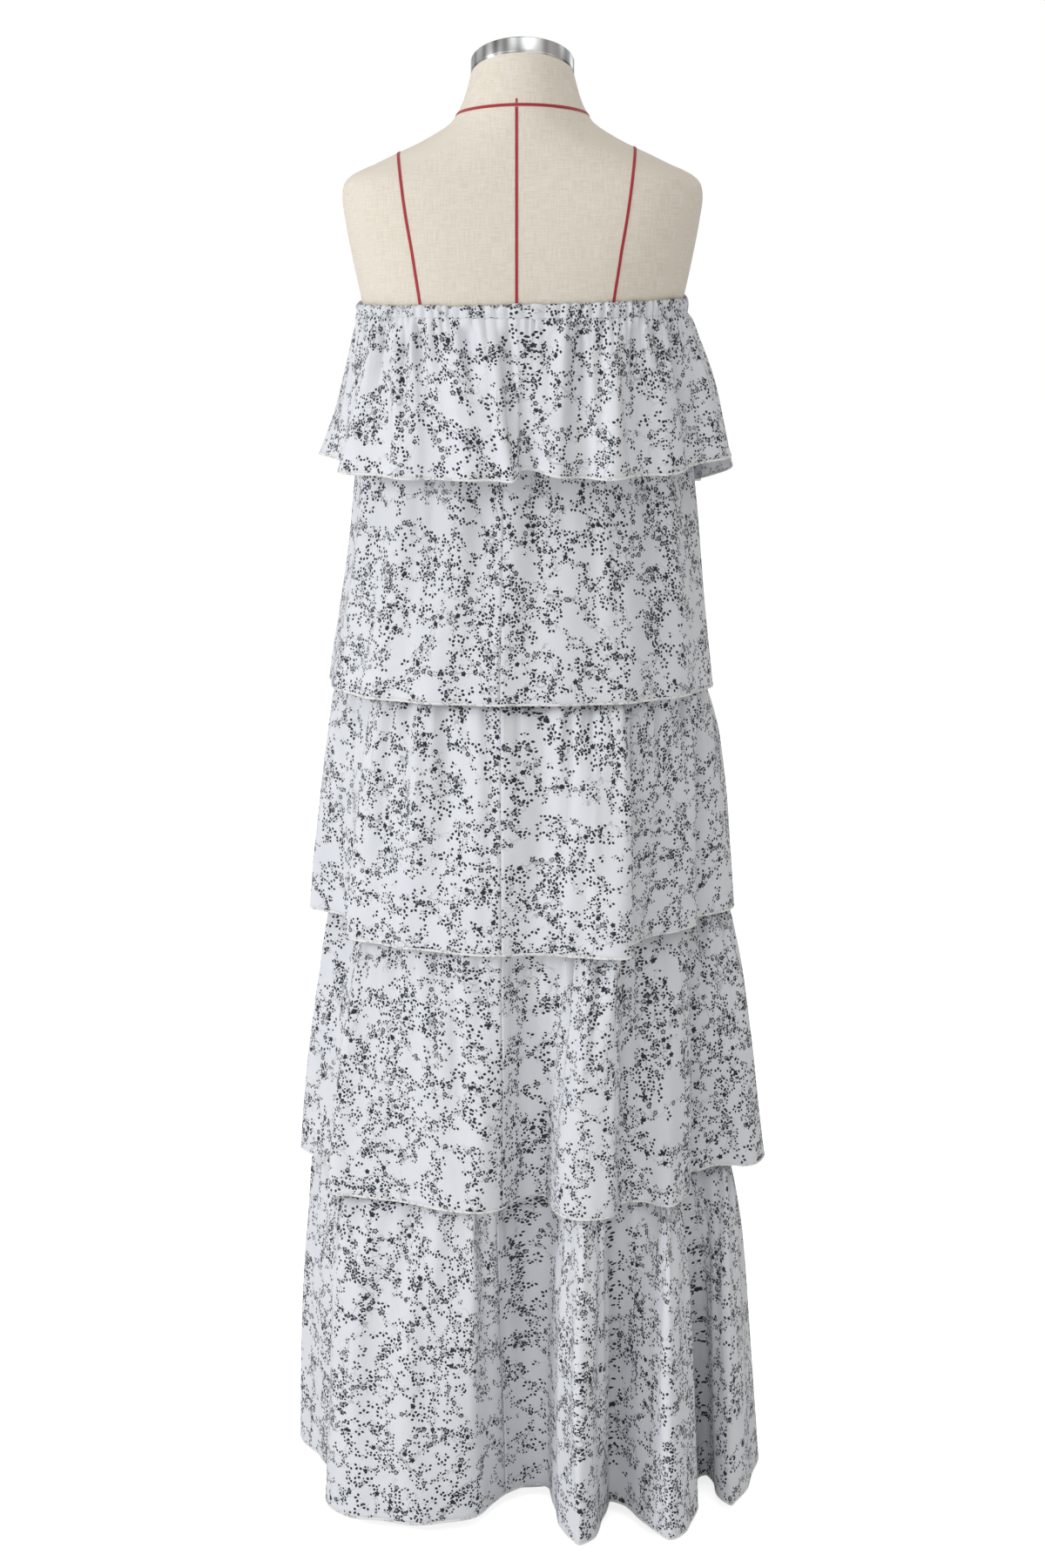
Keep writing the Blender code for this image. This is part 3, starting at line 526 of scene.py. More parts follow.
def crease_window(share: float, crease: Crease | RuffleCrease, ends: tuple[float, float]) -> float:
    """How much of a crease shows at a share of the drop.

    Args:
        share: How far down the tier or ruffle.
        crease: The crease, with its top and its foot.
        ends: Shares of its own length over which it comes and goes.

    Returns:
        From 0 outside the crease to 1 in its middle.
    """
    middle = (share - crease.top) / (crease.foot - crease.top)
    return rise(middle, ends[0]) * rise(1 - middle, ends[1]) if 0 < middle < 1 else 0.0


@dataclass
class Ripple:
    """Uneven small waves along a closed line, from about -1 to 1, at a mean spacing."""

    length: float
    spacing: float
    seed: int
    least: float = 0.25
    offset: float = 0.25
    valley: float = 0.6
    values: np.ndarray = field(init=False)

    def __post_init__(self) -> None:
        """Draws the waves' heights."""
        count = max(4, round(self.length / self.spacing))
        draw = np.random.default_rng(self.seed)
        sign = np.where(np.arange(count) % 2 == 0, 1.0, -1.0)
        heights = draw.uniform(self.least, 1.0, count)
        self.values = sign * heights + draw.uniform(-self.offset, self.offset, count)

    def puffs(self, distance: np.ndarray) -> np.ndarray:
        """The same waves from 0 to 1, with broad crests and narrow valleys."""
        return np.clip(0.5 + 0.5 * self.at(distance), 0, 1) ** self.valley

    def at(self, distance: np.ndarray) -> np.ndarray:
        """The wave's height at distances along the line."""
        place = distance / self.length * len(self.values)
        low = np.floor(place).astype(int)
        t = place - low
        t = t * t * (3 - 2 * t)
        count = len(self.values)
        return self.values[low % count] * (1 - t) + self.values[(low + 1) % count] * t


@dataclass
class CasingGathers:
    """The small gathers of the elastic casing, which run on into the ruffle."""

    count: int = 104
    sway: tuple[float, float] = (0.22, 0.3)
    mean_size: float = 0.68
    size_change: float = 0.32
    valley: float = 0.85

    def __post_init__(self) -> None:
        """Draws their uneven widths and sizes."""
        self.wander = Ripple(1.0, 1 / 40, 31), Ripple(1.0, 1 / 13, 32)
        self.size = Ripple(1.0, 1 / 60, 33)

    def crest(self, turn: np.ndarray) -> np.ndarray:
        """From 0 in the crease between two gathers to about 1 on a gather's crest."""
        first, second = self.wander
        phase = turn * self.count + self.sway[0] * first.at(turn) + self.sway[1] * second.at(turn)
        size = self.mean_size + self.size_change * self.size.at(turn)
        return size * np.abs(np.cos(math.pi * phase)) ** self.valley


@dataclass
class SkirtDrape:
    """Tiers 2 to 5 in plan, all read at the same columns, so that the tiers lie over each other.

    A fade is the distance below a seam over which a kind of gather dies away.
    """

    fine: int = 5
    fine_pitch: float = 5.5 * MM
    fine_gather: float = 3.0 * MM
    fine_fade: float = 45 * MM
    wide_pitch: float = 13 * MM
    wide_gather: float = 6.5 * MM
    wide_fade: float = 120 * MM
    deep_pitch: float = 31 * MM
    deep_gather: float = 12.0 * MM
    deep_fade: float = 70 * MM
    soft_pitch: float = 34 * MM
    soft_fold: float = 4.5 * MM
    soft_start: float = 0.3
    soft_loss: float = 0.35
    inherited_fade: float = 70 * MM
    tier_2_share: float = 0.35
    tier_2_start: float = 90 * MM
    drift: float = 9 * MM
    crease_ends: tuple[float, float] = (0.3, 0.4)

    def __post_init__(self) -> None:
        """Reads the fold table at the skirt's columns."""
        curve = [fold.hem5 for fold in FOLDS]
        spans = {
            "back_right": (0, RIGHT_SEAM),
            "front": (RIGHT_SEAM, LEFT_SEAM),
            "back_left": (LEFT_SEAM, FOLD_COUNT),
        }
        knots: list[float] = []
        self.panels: dict[str, tuple[int, int]] = {}
        for panel, (first, last) in spans.items():
            start = len(knots)
            knots += fold_knots(curve, first, last)
            self.panels[panel] = (start * self.fine, len(knots) * self.fine)
        self.knots = np.array(knots)
        self.between = np.arange(len(knots) * self.fine) / self.fine
        self.hems = {
            tier: loop_through([getattr(fold, f"hem{tier}") for fold in FOLDS], self.knots) * MM
            for tier in (3, 4, 5)
        }
        self.steps = {tier: self.read_steps(tier) for tier in (3, 4)}
        self.steps[2] = np.full(len(knots), TIER_3_STEP)
        pins = (0, RIGHT_SEAM, LEFT_SEAM, FOLD_COUNT)
        turns = (CENTRE_SEAM_TURN, RIGHT_SEAM_TURN, 1 - RIGHT_SEAM_TURN, 1 + CENTRE_SEAM_TURN)
        self.turn = sewn_turns([fold.hem3 for fold in FOLDS], self.knots, pins, turns)
        phase = self.turn * DIP_COUNT + DIP_DRIFT * np.sin(2 * math.pi * (self.turn * 5 + 0.1))
        strength = 1 - DIP_WEAKENING * (1 - np.sin(2 * math.pi * (self.turn * 7 + 0.3)))
        self.dip_wave = strength * (1 - np.cos(2 * math.pi * phase)) / 2
        self.along = self.distances()
        self.ripples = {
            tier: (
                Ripple(length, self.fine_pitch, 10 * tier + 1),
                Ripple(length, self.wide_pitch, 10 * tier + 2),
                Ripple(length, self.deep_pitch, 10 * tier + 4),
                Ripple(length, self.soft_pitch, 10 * tier + 3),
            )
            for tier, (_, length) in self.along.items()
        }

    def read_steps(self, tier: int) -> np.ndarray:
        """The step under a hem at each column, from the fold table."""
        values = [getattr(fold, f"step{tier}") for fold in FOLDS]
        values.append(values[0])
        return np.interp(self.knots % FOLD_COUNT, np.arange(FOLD_COUNT + 1), values) * MM

    def distances(self) -> dict[int, tuple[np.ndarray, float]]:
        """For each tier, the distance along its hem of each fine column, and the hem's whole length."""
        found = {}
        for tier, z in HEM_Z.items():
            loop = loop_through(self.plan(tier, z), self.between)
            travelled = travelled_along(np.concatenate([loop, loop[:1]]))
            found[tier] = (travelled[:-1], travelled[-1])
        return found

    def ring(self, z: float) -> np.ndarray:
        """Plan of tier 2 at a height, before its gathers."""
        top = form_ring(self.turn, CASING_FOOT, CASING_CLEAR + CASING_WALL - CLOTH - SEAM_GAP)
        heights = [CASING_FOOT] + [row.z * MM for row in TIER_2]
        if z >= heights[1]:
            share = (heights[0] - z) / (heights[0] - heights[1])
            lower = self.tier_2_row(0)
            return top + (lower - top) * rise(share, 1.0)
        return self.tier_2_row(np.interp(-z, [-h for h in heights[1:]], range(len(TIER_2))))

    def tier_2_row(self, row: float) -> np.ndarray:
        """Plan of tier 2 at a fractional row of its table."""
        _, left, right, back, front, square = smooth_columns(TIER_2, row)
        x, y = outline(self.turn, left, right, back, front, square)
        return np.stack([x, y], axis=-1) * MM

    def smooth_plan(self, tier: int, z: float) -> np.ndarray:
        """Plan of a tier at a height, before its gathers."""
        if tier == 2:
            return self.ring(z)
        above = HEM_Z[tier - 1]
        if z >= above:
            outer = self.plan(tier - 1, z)
            step = self.steps[tier - 1] * (1 - rise(z - above, OVERLAP))
            along_normal = np.minimum(step, NORMAL_STEP)
            to_pole = outer / np.linalg.norm(outer, axis=1, keepdims=True)
            return (
                outer
                - outward(outer) * (TIER_INSET + along_normal)[:, None]
                - to_pole * (step - along_normal)[:, None]
            )
        start = self.smooth_plan(tier, above)
        share = ((above - z) / (above - HEM_Z[tier])) ** GROWTH[tier]
        return start + (self.hems[tier] - start) * share

    def plan(self, tier: int, z: float) -> np.ndarray:
        """Plan of a tier at a height, as the solids have it."""
        smooth = self.smooth_plan(tier, z)
        top = CASING_FOOT if tier == 2 else HEM_Z[tier - 1] + OVERLAP
        below = top - z
        depth = DIP_DEPTH[tier] * rise(below, DIP_RISE) * math.exp(-below / DIP_FADE)
        return smooth - outward(smooth) * (self.dip_wave * depth)[:, None]

    def relief(self, tier: int, z: float) -> np.ndarray:
        """How far the fine cloth stands out from the plan, at each fine column.

        The tier above shapes it at the top. Tier 2's own top, hidden by the ruffle, lies nearly flat.
        """
        above = CASING_FOOT if tier == 2 else HEM_Z[tier - 1]
        drop = above - HEM_Z[tier]
        below = max(above - z, 0.0)
        share = below / drop
        base = 0.0
        if tier > 2:
            base = self.relief(tier - 1, max(z, above)) * math.exp(-below / self.inherited_fade)
        along, _ = self.along[tier]
        small, wide, deep, soft = self.ripples[tier]
        drift = self.drift * math.sin(5.0 * share + tier)
        weight = 1.0 if tier > 2 else self.tier_2_share * rise(below, self.tier_2_start)
        gathers = weight * (
            self.fine_gather * (1 - small.puffs(along)) * math.exp(-below / self.fine_fade)
            + self.wide_gather * (1 - wide.puffs(along + drift * 0.4)) * math.exp(-below / self.wide_fade)
            + self.deep_gather * (1 - deep.puffs(along)) * math.exp(-below / self.deep_fade)
        )
        fading = 1 - self.soft_loss * share
        folds = self.soft_fold * soft.at(along + drift) * rise(share, self.soft_start) * fading
        return base - gathers + folds + self.creases(tier, share)

    def creases(self, tier: int, share: float) -> np.ndarray:
        """The relief of the listed creases."""
        along, length = self.along[tier]
        total = np.zeros(len(along))
        for crease in CREASES:
            if crease.tier != tier:
                continue
            column = np.searchsorted(self.knots, crease.fold) * self.fine % len(along)
            place = along[column] + crease.lean * MM * share
            away = (along - place + length / 2) % length - length / 2
            window = crease_window(share, crease, self.crease_ends)
            total += crease.depth * MM * window * np.exp(-((away / (crease.width * MM)) ** 2))
        return total

    def loop(self, tier: int, z: float) -> np.ndarray:
        """A tier's outer face at a height, as a closed loop of points in space."""
        plan = loop_through(self.plan(tier, z), self.between)
        plan = plan + outward(plan) * self.relief(tier, z)[:, None]
        return np.column_stack([plan, np.full(len(plan), z)])


@dataclass
class RuffleDrape:
    """The ruffle, from the casing's foot to its hem.

    A start is the distance below the top over which a kind of gather rises, a fade the distance over which
    it dies away, and a level the part of a puff's height that is taken off, so that it bulges no further.
    """

    fine: int = 10
    rows: int = 34
    crowding: float = 1.25
    drop_share: float = 0.4
    puff_share: float = 0.15
    gather: float = 4.2 * MM
    gather_level: float = 0.4
    gather_start: float = 20 * MM
    gather_fade: float = 32 * MM
    puff_fade: float = 80 * MM
    wide_pitch: float = 15 * MM
    wide_gather: float = 8.5 * MM
    wide_level: float = 0.55
    wide_start: float = 34 * MM
    deep_pitch: float = 34 * MM
    deep_gather: float = 9.0 * MM
    deep_level: float = 0.75
    deep_start: float = 24 * MM
    soft_pitch: float = 40 * MM
    soft_fold: float = 4.5 * MM
    soft_start: float = 0.5
    drift: float = 8 * MM
    tuck_in: float = 1.0 * MM
    tuck_reach: float = 6 * MM
    ridge_away: float = 1.7
    ridge_share: float = 0.8
    crease_ends: tuple[float, float] = (0.15, 0.6)

    def __post_init__(self) -> None:
        """Reads the wave table at the ruffle's columns."""
        curve = [(wave.x, wave.y) for wave in RUFFLE]
        back = even_knots(curve, RUFFLE_LEFT - len(RUFFLE), RUFFLE_RIGHT, RUFFLE_COLUMNS["back"])[:-1]
        front = even_knots(curve, RUFFLE_RIGHT, RUFFLE_LEFT, RUFFLE_COLUMNS["front"])[:-1]
        self.knots = np.concatenate([back, front])
        cut = len(back) * self.fine
        self.panels = {"back": (0, cut), "front": (cut, len(self.knots) * self.fine)}
        self.hem = loop_through([(wave.x, wave.y, wave.z) for wave in RUFFLE], self.knots) * MM
        pins = (0, RUFFLE_RIGHT, RUFFLE_LEFT, len(RUFFLE))
        turns = (0, RIGHT_SEAM_TURN, 1 - RIGHT_SEAM_TURN, 1)
        self.turn = sewn_turns(curve, self.knots, pins, turns)
        self.between = np.arange(len(self.knots) * self.fine) / self.fine

    def coarse(self, share: float) -> np.ndarray:
        """The ruffle's outer face at a share of its drop, as the solids have it, with lower puffs."""
        top = CASING_FOOT - SEAM_GAP
        start = form_ring(self.turn, CASING_FOOT, CASING_CLEAR + CASING_WALL)
        phase = self.turn * 2 * DIP_COUNT + DIP_DRIFT * np.sin(2 * math.pi * self.turn * 6)
        dips = (1 - np.cos(2 * math.pi * phase)) / 2
        z = top + (self.hem[:, 2] - top) * share
        spread = share ** (RUFFLE_SPREAD - RUFFLE_LEAN * self.hem[:, :1])
        plan = start + (self.hem[:, :2] - start) * spread
        front = np.clip(plan[:, 1] / BUST_REACH, 0, 1)
        over_bust = BUST_LIFT * math.sin(math.pi * min(share / BUST_SHARE, 1.0))
        below = top - z
        fade = np.exp(-below / RUFFLE_DIP_FADE)
        puff = self.puff_share * DIP_DEPTH[1] * rise(below, RUFFLE_DIP_RISE) * fade
        plan = plan + outward(plan) * (front * over_bust + (1 - dips) * puff)[:, None]
        return np.column_stack([plan, z])

    def loops(self) -> np.ndarray:
        """All rows of the ruffle, from the top down."""
        hem = loop_through(self.coarse(1.0), self.between)
        travelled = travelled_along(np.concatenate([hem, hem[:1]]))
        along, length = travelled[:-1], travelled[-1]
        wide = Ripple(length, self.wide_pitch, 6)
        deep = Ripple(length, self.deep_pitch, 9)
        soft = Ripple(length, self.soft_pitch, 7)
        pinned = np.append(self.turn, self.turn[0] + 1)
        crest = CasingGathers().crest(np.interp(self.between, range(len(pinned)), pinned) % 1)
        found = []
        for share in np.linspace(0, 1, self.rows + 1) ** self.crowding:
            loop = loop_through(self.coarse(share), self.between)
            below = share * (CASING_FOOT - HEM_Z[2]) * self.drop_share
            fade = math.exp(-below / self.puff_fade)
            drift = self.drift * math.sin(4 * share)
            small = crest - self.gather_level * rise(below, self.gather_start)
            relief = self.gather * math.exp(-below / self.gather_fade) * small
            swell = wide.puffs(along + drift * 0.5) - self.wide_level
            relief = relief + self.wide_gather * fade * rise(below, self.wide_start) * swell
            swell = deep.puffs(along) - self.deep_level
            relief = relief + self.deep_gather * fade * rise(below, self.deep_start) * swell
            relief = relief + self.soft_fold * soft.at(along + drift) * rise(share, self.soft_start)
            relief = relief + self.creases(hem, along, length, share)
            relief = relief - self.tuck_in * (1 - rise(below, self.tuck_reach))
            loop[:, :2] += outward(loop[:, :2]) * relief[:, None]
            found.append(loop)
        return np.array(found)

    def creases(self, hem: np.ndarray, along: np.ndarray, length: float, share: float) -> np.ndarray:
        """The relief of the listed creases: a trough between two low ridges.

        Args:
            hem: The ruffle's hem, one point for each fine column.
            along: The distance of each along the hem.
            length: The hem's whole length.
            share: How far down the ruffle.

        Returns:
            How far each column stands out.
        """
        total = np.zeros(len(along))
        for crease in RUFFLE_CREASES:
            other_side = (hem[:, 1] < 0) != crease.back
            column = np.argmin(np.abs(hem[:, 0] - crease.x * MM) + other_side)
            place = along[column] + crease.lean * MM * (1 - share)
            away = ((along - place + length / 2) % length - length / 2) / (crease.width * MM)
            window = crease_window(share, crease, self.crease_ends)
            ridges = np.exp(-((away - self.ridge_away) ** 2)) + np.exp(-((away + self.ridge_away) ** 2))
            total += crease.depth * MM * window * (self.ridge_share * ridges - np.exp(-(away**2)))
        return total


# Materials

Socket = bpy.types.NodeSocket
Colour = tuple[float, float, float, float]


class Graph:
    """The nodes of one material, with short ways to add maths and textures."""

    def __init__(self, name: str) -> None:
        """Starts a material with its Principled shader."""
        self.material = bpy.data.materials.new(name)
        self.material.use_nodes = True
        self.nodes = self.material.node_tree.nodes
        self.links = self.material.node_tree.links
        self.shader = self.nodes["Principled BSDF"]
        self.output = self.nodes["Material Output"]

    def feed(self, socket: Socket, value: object) -> None:
        """Links another node's output to a socket, or sets its number or colour."""
        if isinstance(value, Socket):
            self.links.new(value, socket)
        else:
            socket.default_value = value

    def add(self, kind: str, inputs: dict | None = None, **settings: object) -> bpy.types.Node:
        """Adds a node.

        Args:
            kind: The node's type, without ShaderNode in front.
            inputs: What feeds each input, by its name or number.
            settings: The node's own settings.

        Returns:
            The node.
        """
        node = self.nodes.new(f"ShaderNode{kind}")
        for name, value in settings.items():
            setattr(node, name, value)
        for name, value in (inputs or {}).items():
            self.feed(node.inputs[name], value)
        return node

    def maths(self, operation: str, *values: object, clamp: bool = False) -> Socket:
        """The output of a Math node."""
        node = self.add("Math", dict(enumerate(values)), operation=operation, use_clamp=clamp)
        return node.outputs[0]

    def times(self, first: object, second: object, clamp: bool = False) -> Socket:
        """The product of two values."""
        return self.maths("MULTIPLY", first, second, clamp=clamp)

    def plus(self, first: object, second: object, clamp: bool = False) -> Socket:
        """The sum of two values."""
        return self.maths("ADD", first, second, clamp=clamp)

    def minus(self, first: object, second: object) -> Socket:
        """The first value less the second."""
        return self.maths("SUBTRACT", first, second)

    def larger(self, first: object, second: object) -> Socket:
        """The larger of two values."""
        return self.maths("MAXIMUM", first, second)

    def under(self, value: object, limit: object) -> Socket:
        """1 where a value is under a limit, and 0 elsewhere."""
        return self.maths("LESS_THAN", value, limit)

    def over(self, value: object, limit: object) -> Socket:
        """1 where a value is over a limit, and 0 elsewhere."""
        return self.maths("GREATER_THAN", value, limit)

    def absolute(self, value: object) -> Socket:
        """A value without its sign."""
        return self.maths("ABSOLUTE", value)

    def sine(self, value: object) -> Socket:
        """The sine of a value."""
        return self.maths("SINE", value)

    def cosine(self, value: object) -> Socket:
        """The cosine of a value."""
        return self.maths("COSINE", value)

    def surface(self, settings: dict[str, object]) -> None:
        """Feeds the shader's inputs, each by its name."""
        for name, value in settings.items():
            self.feed(self.shader.inputs[name], value)

    def vector(self, operation: str, *values: object) -> Socket:
        """The output of a Vector Math node."""
        node = self.add("VectorMath", operation=operation)
        for number, value in enumerate(values):
            self.feed(node.inputs["Scale" if operation == "SCALE" and number == 1 else number], value)
        return node.outputs["Value" if operation in ("LENGTH", "DISTANCE", "DOT_PRODUCT") else "Vector"]

    def split(self, vector: Socket) -> list[Socket]:
        """The x, y and z of a vector."""
        return list(self.add("SeparateXYZ", {0: vector}).outputs)

    def join(self, x: object = 0.0, y: object = 0.0, z: object = 0.0) -> Socket:
        """A vector made of x, y and z."""
        return self.add("CombineXYZ", {0: x, 1: y, 2: z}).outputs[0]

    def step(self, value: object, low: float, high: float) -> Socket:
        """0 below low and 1 above high, with a smooth rise between, or a fall if low is above high."""
        flip = low > high
        start, end = (high, low) if flip else (low, high)
        node = self.add(
            "MapRange",
            {"Value": value, "From Min": start, "From Max": end},
            interpolation_type="SMOOTHSTEP",
        )
        return self.maths("SUBTRACT", 1.0, node.outputs[0]) if flip else node.outputs[0]

    def span(self, value: object, low: float, high: float) -> Socket:
        """A value from 0 to 1, spread from low to high."""
        return self.maths("MULTIPLY_ADD", value, high - low, low)

    def blend(self, share: object, first: object, second: object) -> Socket:
        """A colour between two others."""
        node = self.nodes.new("ShaderNodeMix")
        node.data_type = "RGBA"
        self.feed(node.inputs["Factor"], share)
        self.feed(node.inputs[6], first)
        self.feed(node.inputs[7], second)
        return node.outputs[2]

    def noise(self, place: object, scale: float, detail: float = 2.0, flat: bool = False) -> Socket:
        """Noise from 0 to 1 at a place."""
        node = self.add(
            "TexNoise",
            {"Vector": place, "Scale": scale, "Detail": detail},
            noise_dimensions="2D" if flat else "3D",
        )
        return node.outputs["Fac"]

    def streaks(
        self, place: object, stretch: tuple[float, float, float], detail: float = 2.0, flat: bool = True
    ) -> Socket:
        """Noise whose marks are finer along an axis the larger its number."""
        return self.noise(self.vector("MULTIPLY", place, stretch), 1.0, detail, flat=flat)

    def woven(self, x: object, y: object, thread: float, wander: object) -> Socket:
        """Threads crossing along x and y, a little uneven by wander."""
        turn = 2 * math.pi / thread
        warp = self.sine(self.plus(self.times(x, turn), wander))
        weft = self.sine(self.plus(self.times(y, turn), wander))
        return self.span(self.times(warp, weft), 0.5, 1.0)

    def bump(self, height: object, distance: float, strength: float = 1.0) -> Socket:
        """A normal bent by a height from 0 to 1, which stands for a distance in metres."""
        node = self.add("Bump", {"Height": height, "Distance": distance, "Strength": strength})
        return node.outputs[0]

    def place(self) -> Socket:
        """The object's own coordinates, in metres."""
        return self.add("TexCoord").outputs["Object"]

    def uv(self, name: str) -> Socket:
        """A map of the piece's own flat coordinates, in metres."""
        return self.add("UVMap", uv_map=name).outputs[0]


class ClothSide(Enum):
    """Which face of the chiffon shows."""

    PRINTED = "chiffon_face"
    REVERSE = "chiffon_reverse"
    HEM = "chiffon_hem"


class LeafShape(NamedTuple):
    """A leaf that lies along x: its middle, half its length and half its width, in cells."""

    middle: float
    half: float
    width: float


@dataclass(frozen=True)
class SprigPrint:
    """A print of small blossoms and leaves along wandering stems.

    Pitches are in metres and all other sizes in cells. A pair is a value at one end and at the other, of an
    edge that fades or of a number that differs from cell to cell.
    """

    branch_scale: float = 24.0
    leaf_pitch: float = 7.7 * MM
    second_pitch: float = 1.3
    second_shift: tuple[float, float, float] = (0.371, 0.123, 0.0)
    blossom_pitch: float = 8.4 * MM
    leaf_reach: float = 0.118
    blossom_reach: float = 0.08
    soft_edge: float = 0.07
    fan: float = math.radians(72)
    centre_leaf: LeafShape = LeafShape(0.36, 0.21, 0.155)
    side_leaf: LeafShape = LeafShape(0.37, 0.2, 0.148)
    leaf_tones: tuple[float, float] = (1.0, 1.6)
    stalk_ends: tuple[float, float] = (-0.35, 0.12)
    stalk_edge: tuple[float, float] = (0.05, 0.02)
    stalk_ink: float = 0.15
    five_petals: float = 0.45
    petal_edge: tuple[float, float] = (0.225, 0.275)
    ring_edge: tuple[float, float] = (0.105, 0.05)
    filled_from: float = 0.8
    petal_ink: tuple[float, float] = (0.12, 1.0)
    heart_edge: tuple[float, float] = (0.075, 0.035)
    blossom_tones: tuple[float, float] = (0.85, 1.4)
    stem_edge: tuple[float, float] = (0.008, 0.003)
    twig_scale: float = 75.0
    twig_edge: tuple[float, float] = (0.02, 0.008)
    twig_reach: tuple[float, float] = (0.1, 0.06)
    stem_ink: float = 0.3
    cloud_scale: float = 14.0
    cloud_ink: tuple[float, float] = (0.3, 1.9)

    def branch(self, graph: Graph, place: object) -> Socket:
        """How far a place is from the nearest branch, from 0."""
        value = graph.noise(place, self.branch_scale, 1.5, flat=True)
        return graph.absolute(graph.minus(value, 0.5))

    def cells(self, graph: Graph, flat: object, pitch: float) -> tuple[Socket, ...]:
        """Divides the cloth into cells, each with its own turned coordinates.

        Args:
            graph: The material's nodes.
            flat: Flat coordinates of the cloth.
            pitch: Size of a cell.

        Returns:
            Local x and y in cells, distance to the nearest branch, and two random numbers of the cell.
        """
        scaled = graph.vector("SCALE", flat, 1 / pitch)
        node = graph.add(
            "TexVoronoi",
            {"Vector": scaled, "Scale": 1.0, "Randomness": 0.85},
            voronoi_dimensions="2D",
        )
        centre = node.outputs["Position"]
        red, green, blue = graph.add("SeparateColor", {0: node.outputs["Color"]}).outputs
        away = graph.vector("SUBTRACT", scaled, centre)
        angle = graph.times(red, 2 * math.pi)
        turned = graph.add("VectorRotate", {"Vector": away, "Angle": angle}, rotation_type="Z_AXIS")
        x, y, _ = graph.split(turned.outputs[0])
        near = self.branch(graph, graph.vector("SCALE", centre, pitch))
        return x, y, near, green, blue

    def leaf(self, graph: Graph, x: object, y: object, shape: LeafShape) -> Socket:
        """The ink of one leaf that lies along x."""
        along = graph.maths("DIVIDE", graph.minus(x, shape.middle), shape.half)
        room = graph.minus(1.0, graph.times(along, along))
        edge = graph.minus(graph.times(room, shape.width), graph.absolute(y))
        return graph.step(edge, -self.soft_edge * 0.3, self.soft_edge)

    def leaves(self, graph: Graph, flat: object, pitch: float) -> Socket:
        """Leaves in threes, fanned out from a short stalk, near the branches."""
        x, y, near, green, blue = self.cells(graph, flat, pitch)
        folded = graph.absolute(y)
        cosine, sine = math.cos(self.fan), math.sin(self.fan)
        centre = self.leaf(graph, x, y, self.centre_leaf)
        side_x = graph.plus(graph.times(x, cosine), graph.times(folded, sine))
        side_y = graph.minus(graph.times(folded, cosine), graph.times(x, sine))
        side = self.leaf(graph, side_x, side_y, self.side_leaf)
        start, end = self.stalk_ends
        back = graph.times(graph.under(x, end), graph.over(x, start))
        stalk = graph.times(back, graph.step(graph.absolute(y), *self.stalk_edge))
        shape = graph.larger(graph.larger(centre, side), graph.times(stalk, self.stalk_ink))
        shown = graph.under(near, graph.span(green, 0.3 * self.leaf_reach, self.leaf_reach))
        return graph.times(graph.times(shape, shown), graph.span(blue, *self.leaf_tones))

    def blossoms(self, graph: Graph, flat: object) -> Socket:
        """Blossoms of four or five petals, each with a dark outline and a light middle."""
        x, y, near, green, blue = self.cells(graph, flat, self.blossom_pitch)
        angle = graph.maths("ARCTAN2", y, x)
        petals = graph.plus(4.0, graph.over(green, self.five_petals))
        wave = graph.cosine(graph.times(angle, petals))
        radius = graph.maths("POWER", graph.plus(graph.times(x, x), graph.times(y, y)), 0.5)
        edge = graph.span(wave, *self.petal_edge)
        ring = graph.step(graph.absolute(graph.minus(radius, edge)), *self.ring_edge)
        filled = graph.span(graph.over(blue, self.filled_from), *self.petal_ink)
        petal = graph.times(graph.under(radius, edge), filled)
        heart = graph.step(radius, *self.heart_edge)
        shape = graph.larger(graph.larger(ring, heart), petal)
        shown = graph.under(near, graph.span(green, -0.6 * self.blossom_reach, self.blossom_reach))
        return graph.times(graph.times(shape, shown), graph.span(blue, *self.blossom_tones))

    def stems(self, graph: Graph, flat: object) -> Socket:
        """Thin stems along the branches, and twigs beside them."""
        near = self.branch(graph, flat)
        stem = graph.step(near, *self.stem_edge)
        twigs = graph.noise(flat, self.twig_scale, 1.0, flat=True)
        twig = graph.step(graph.absolute(graph.minus(twigs, 0.5)), *self.twig_edge)
        twig = graph.times(twig, graph.step(near, *self.twig_reach))
        return graph.times(graph.larger(stem, twig), self.stem_ink)

    def ink(self, graph: Graph, flat: object) -> Socket:
        """How much ink lies at a place, from 0 to 1."""
        total = self.leaves(graph, flat, self.leaf_pitch)
        moved = graph.vector("ADD", flat, self.second_shift)
        layers = (
            self.leaves(graph, moved, self.leaf_pitch * self.second_pitch),
            self.blossoms(graph, flat),
            self.stems(graph, flat),
        )
        for layer in layers:
            total = graph.larger(total, layer)
        fade = graph.span(graph.noise(flat, self.cloud_scale, 2.0, flat=True), *self.cloud_ink)
        return graph.times(total, fade, clamp=True)


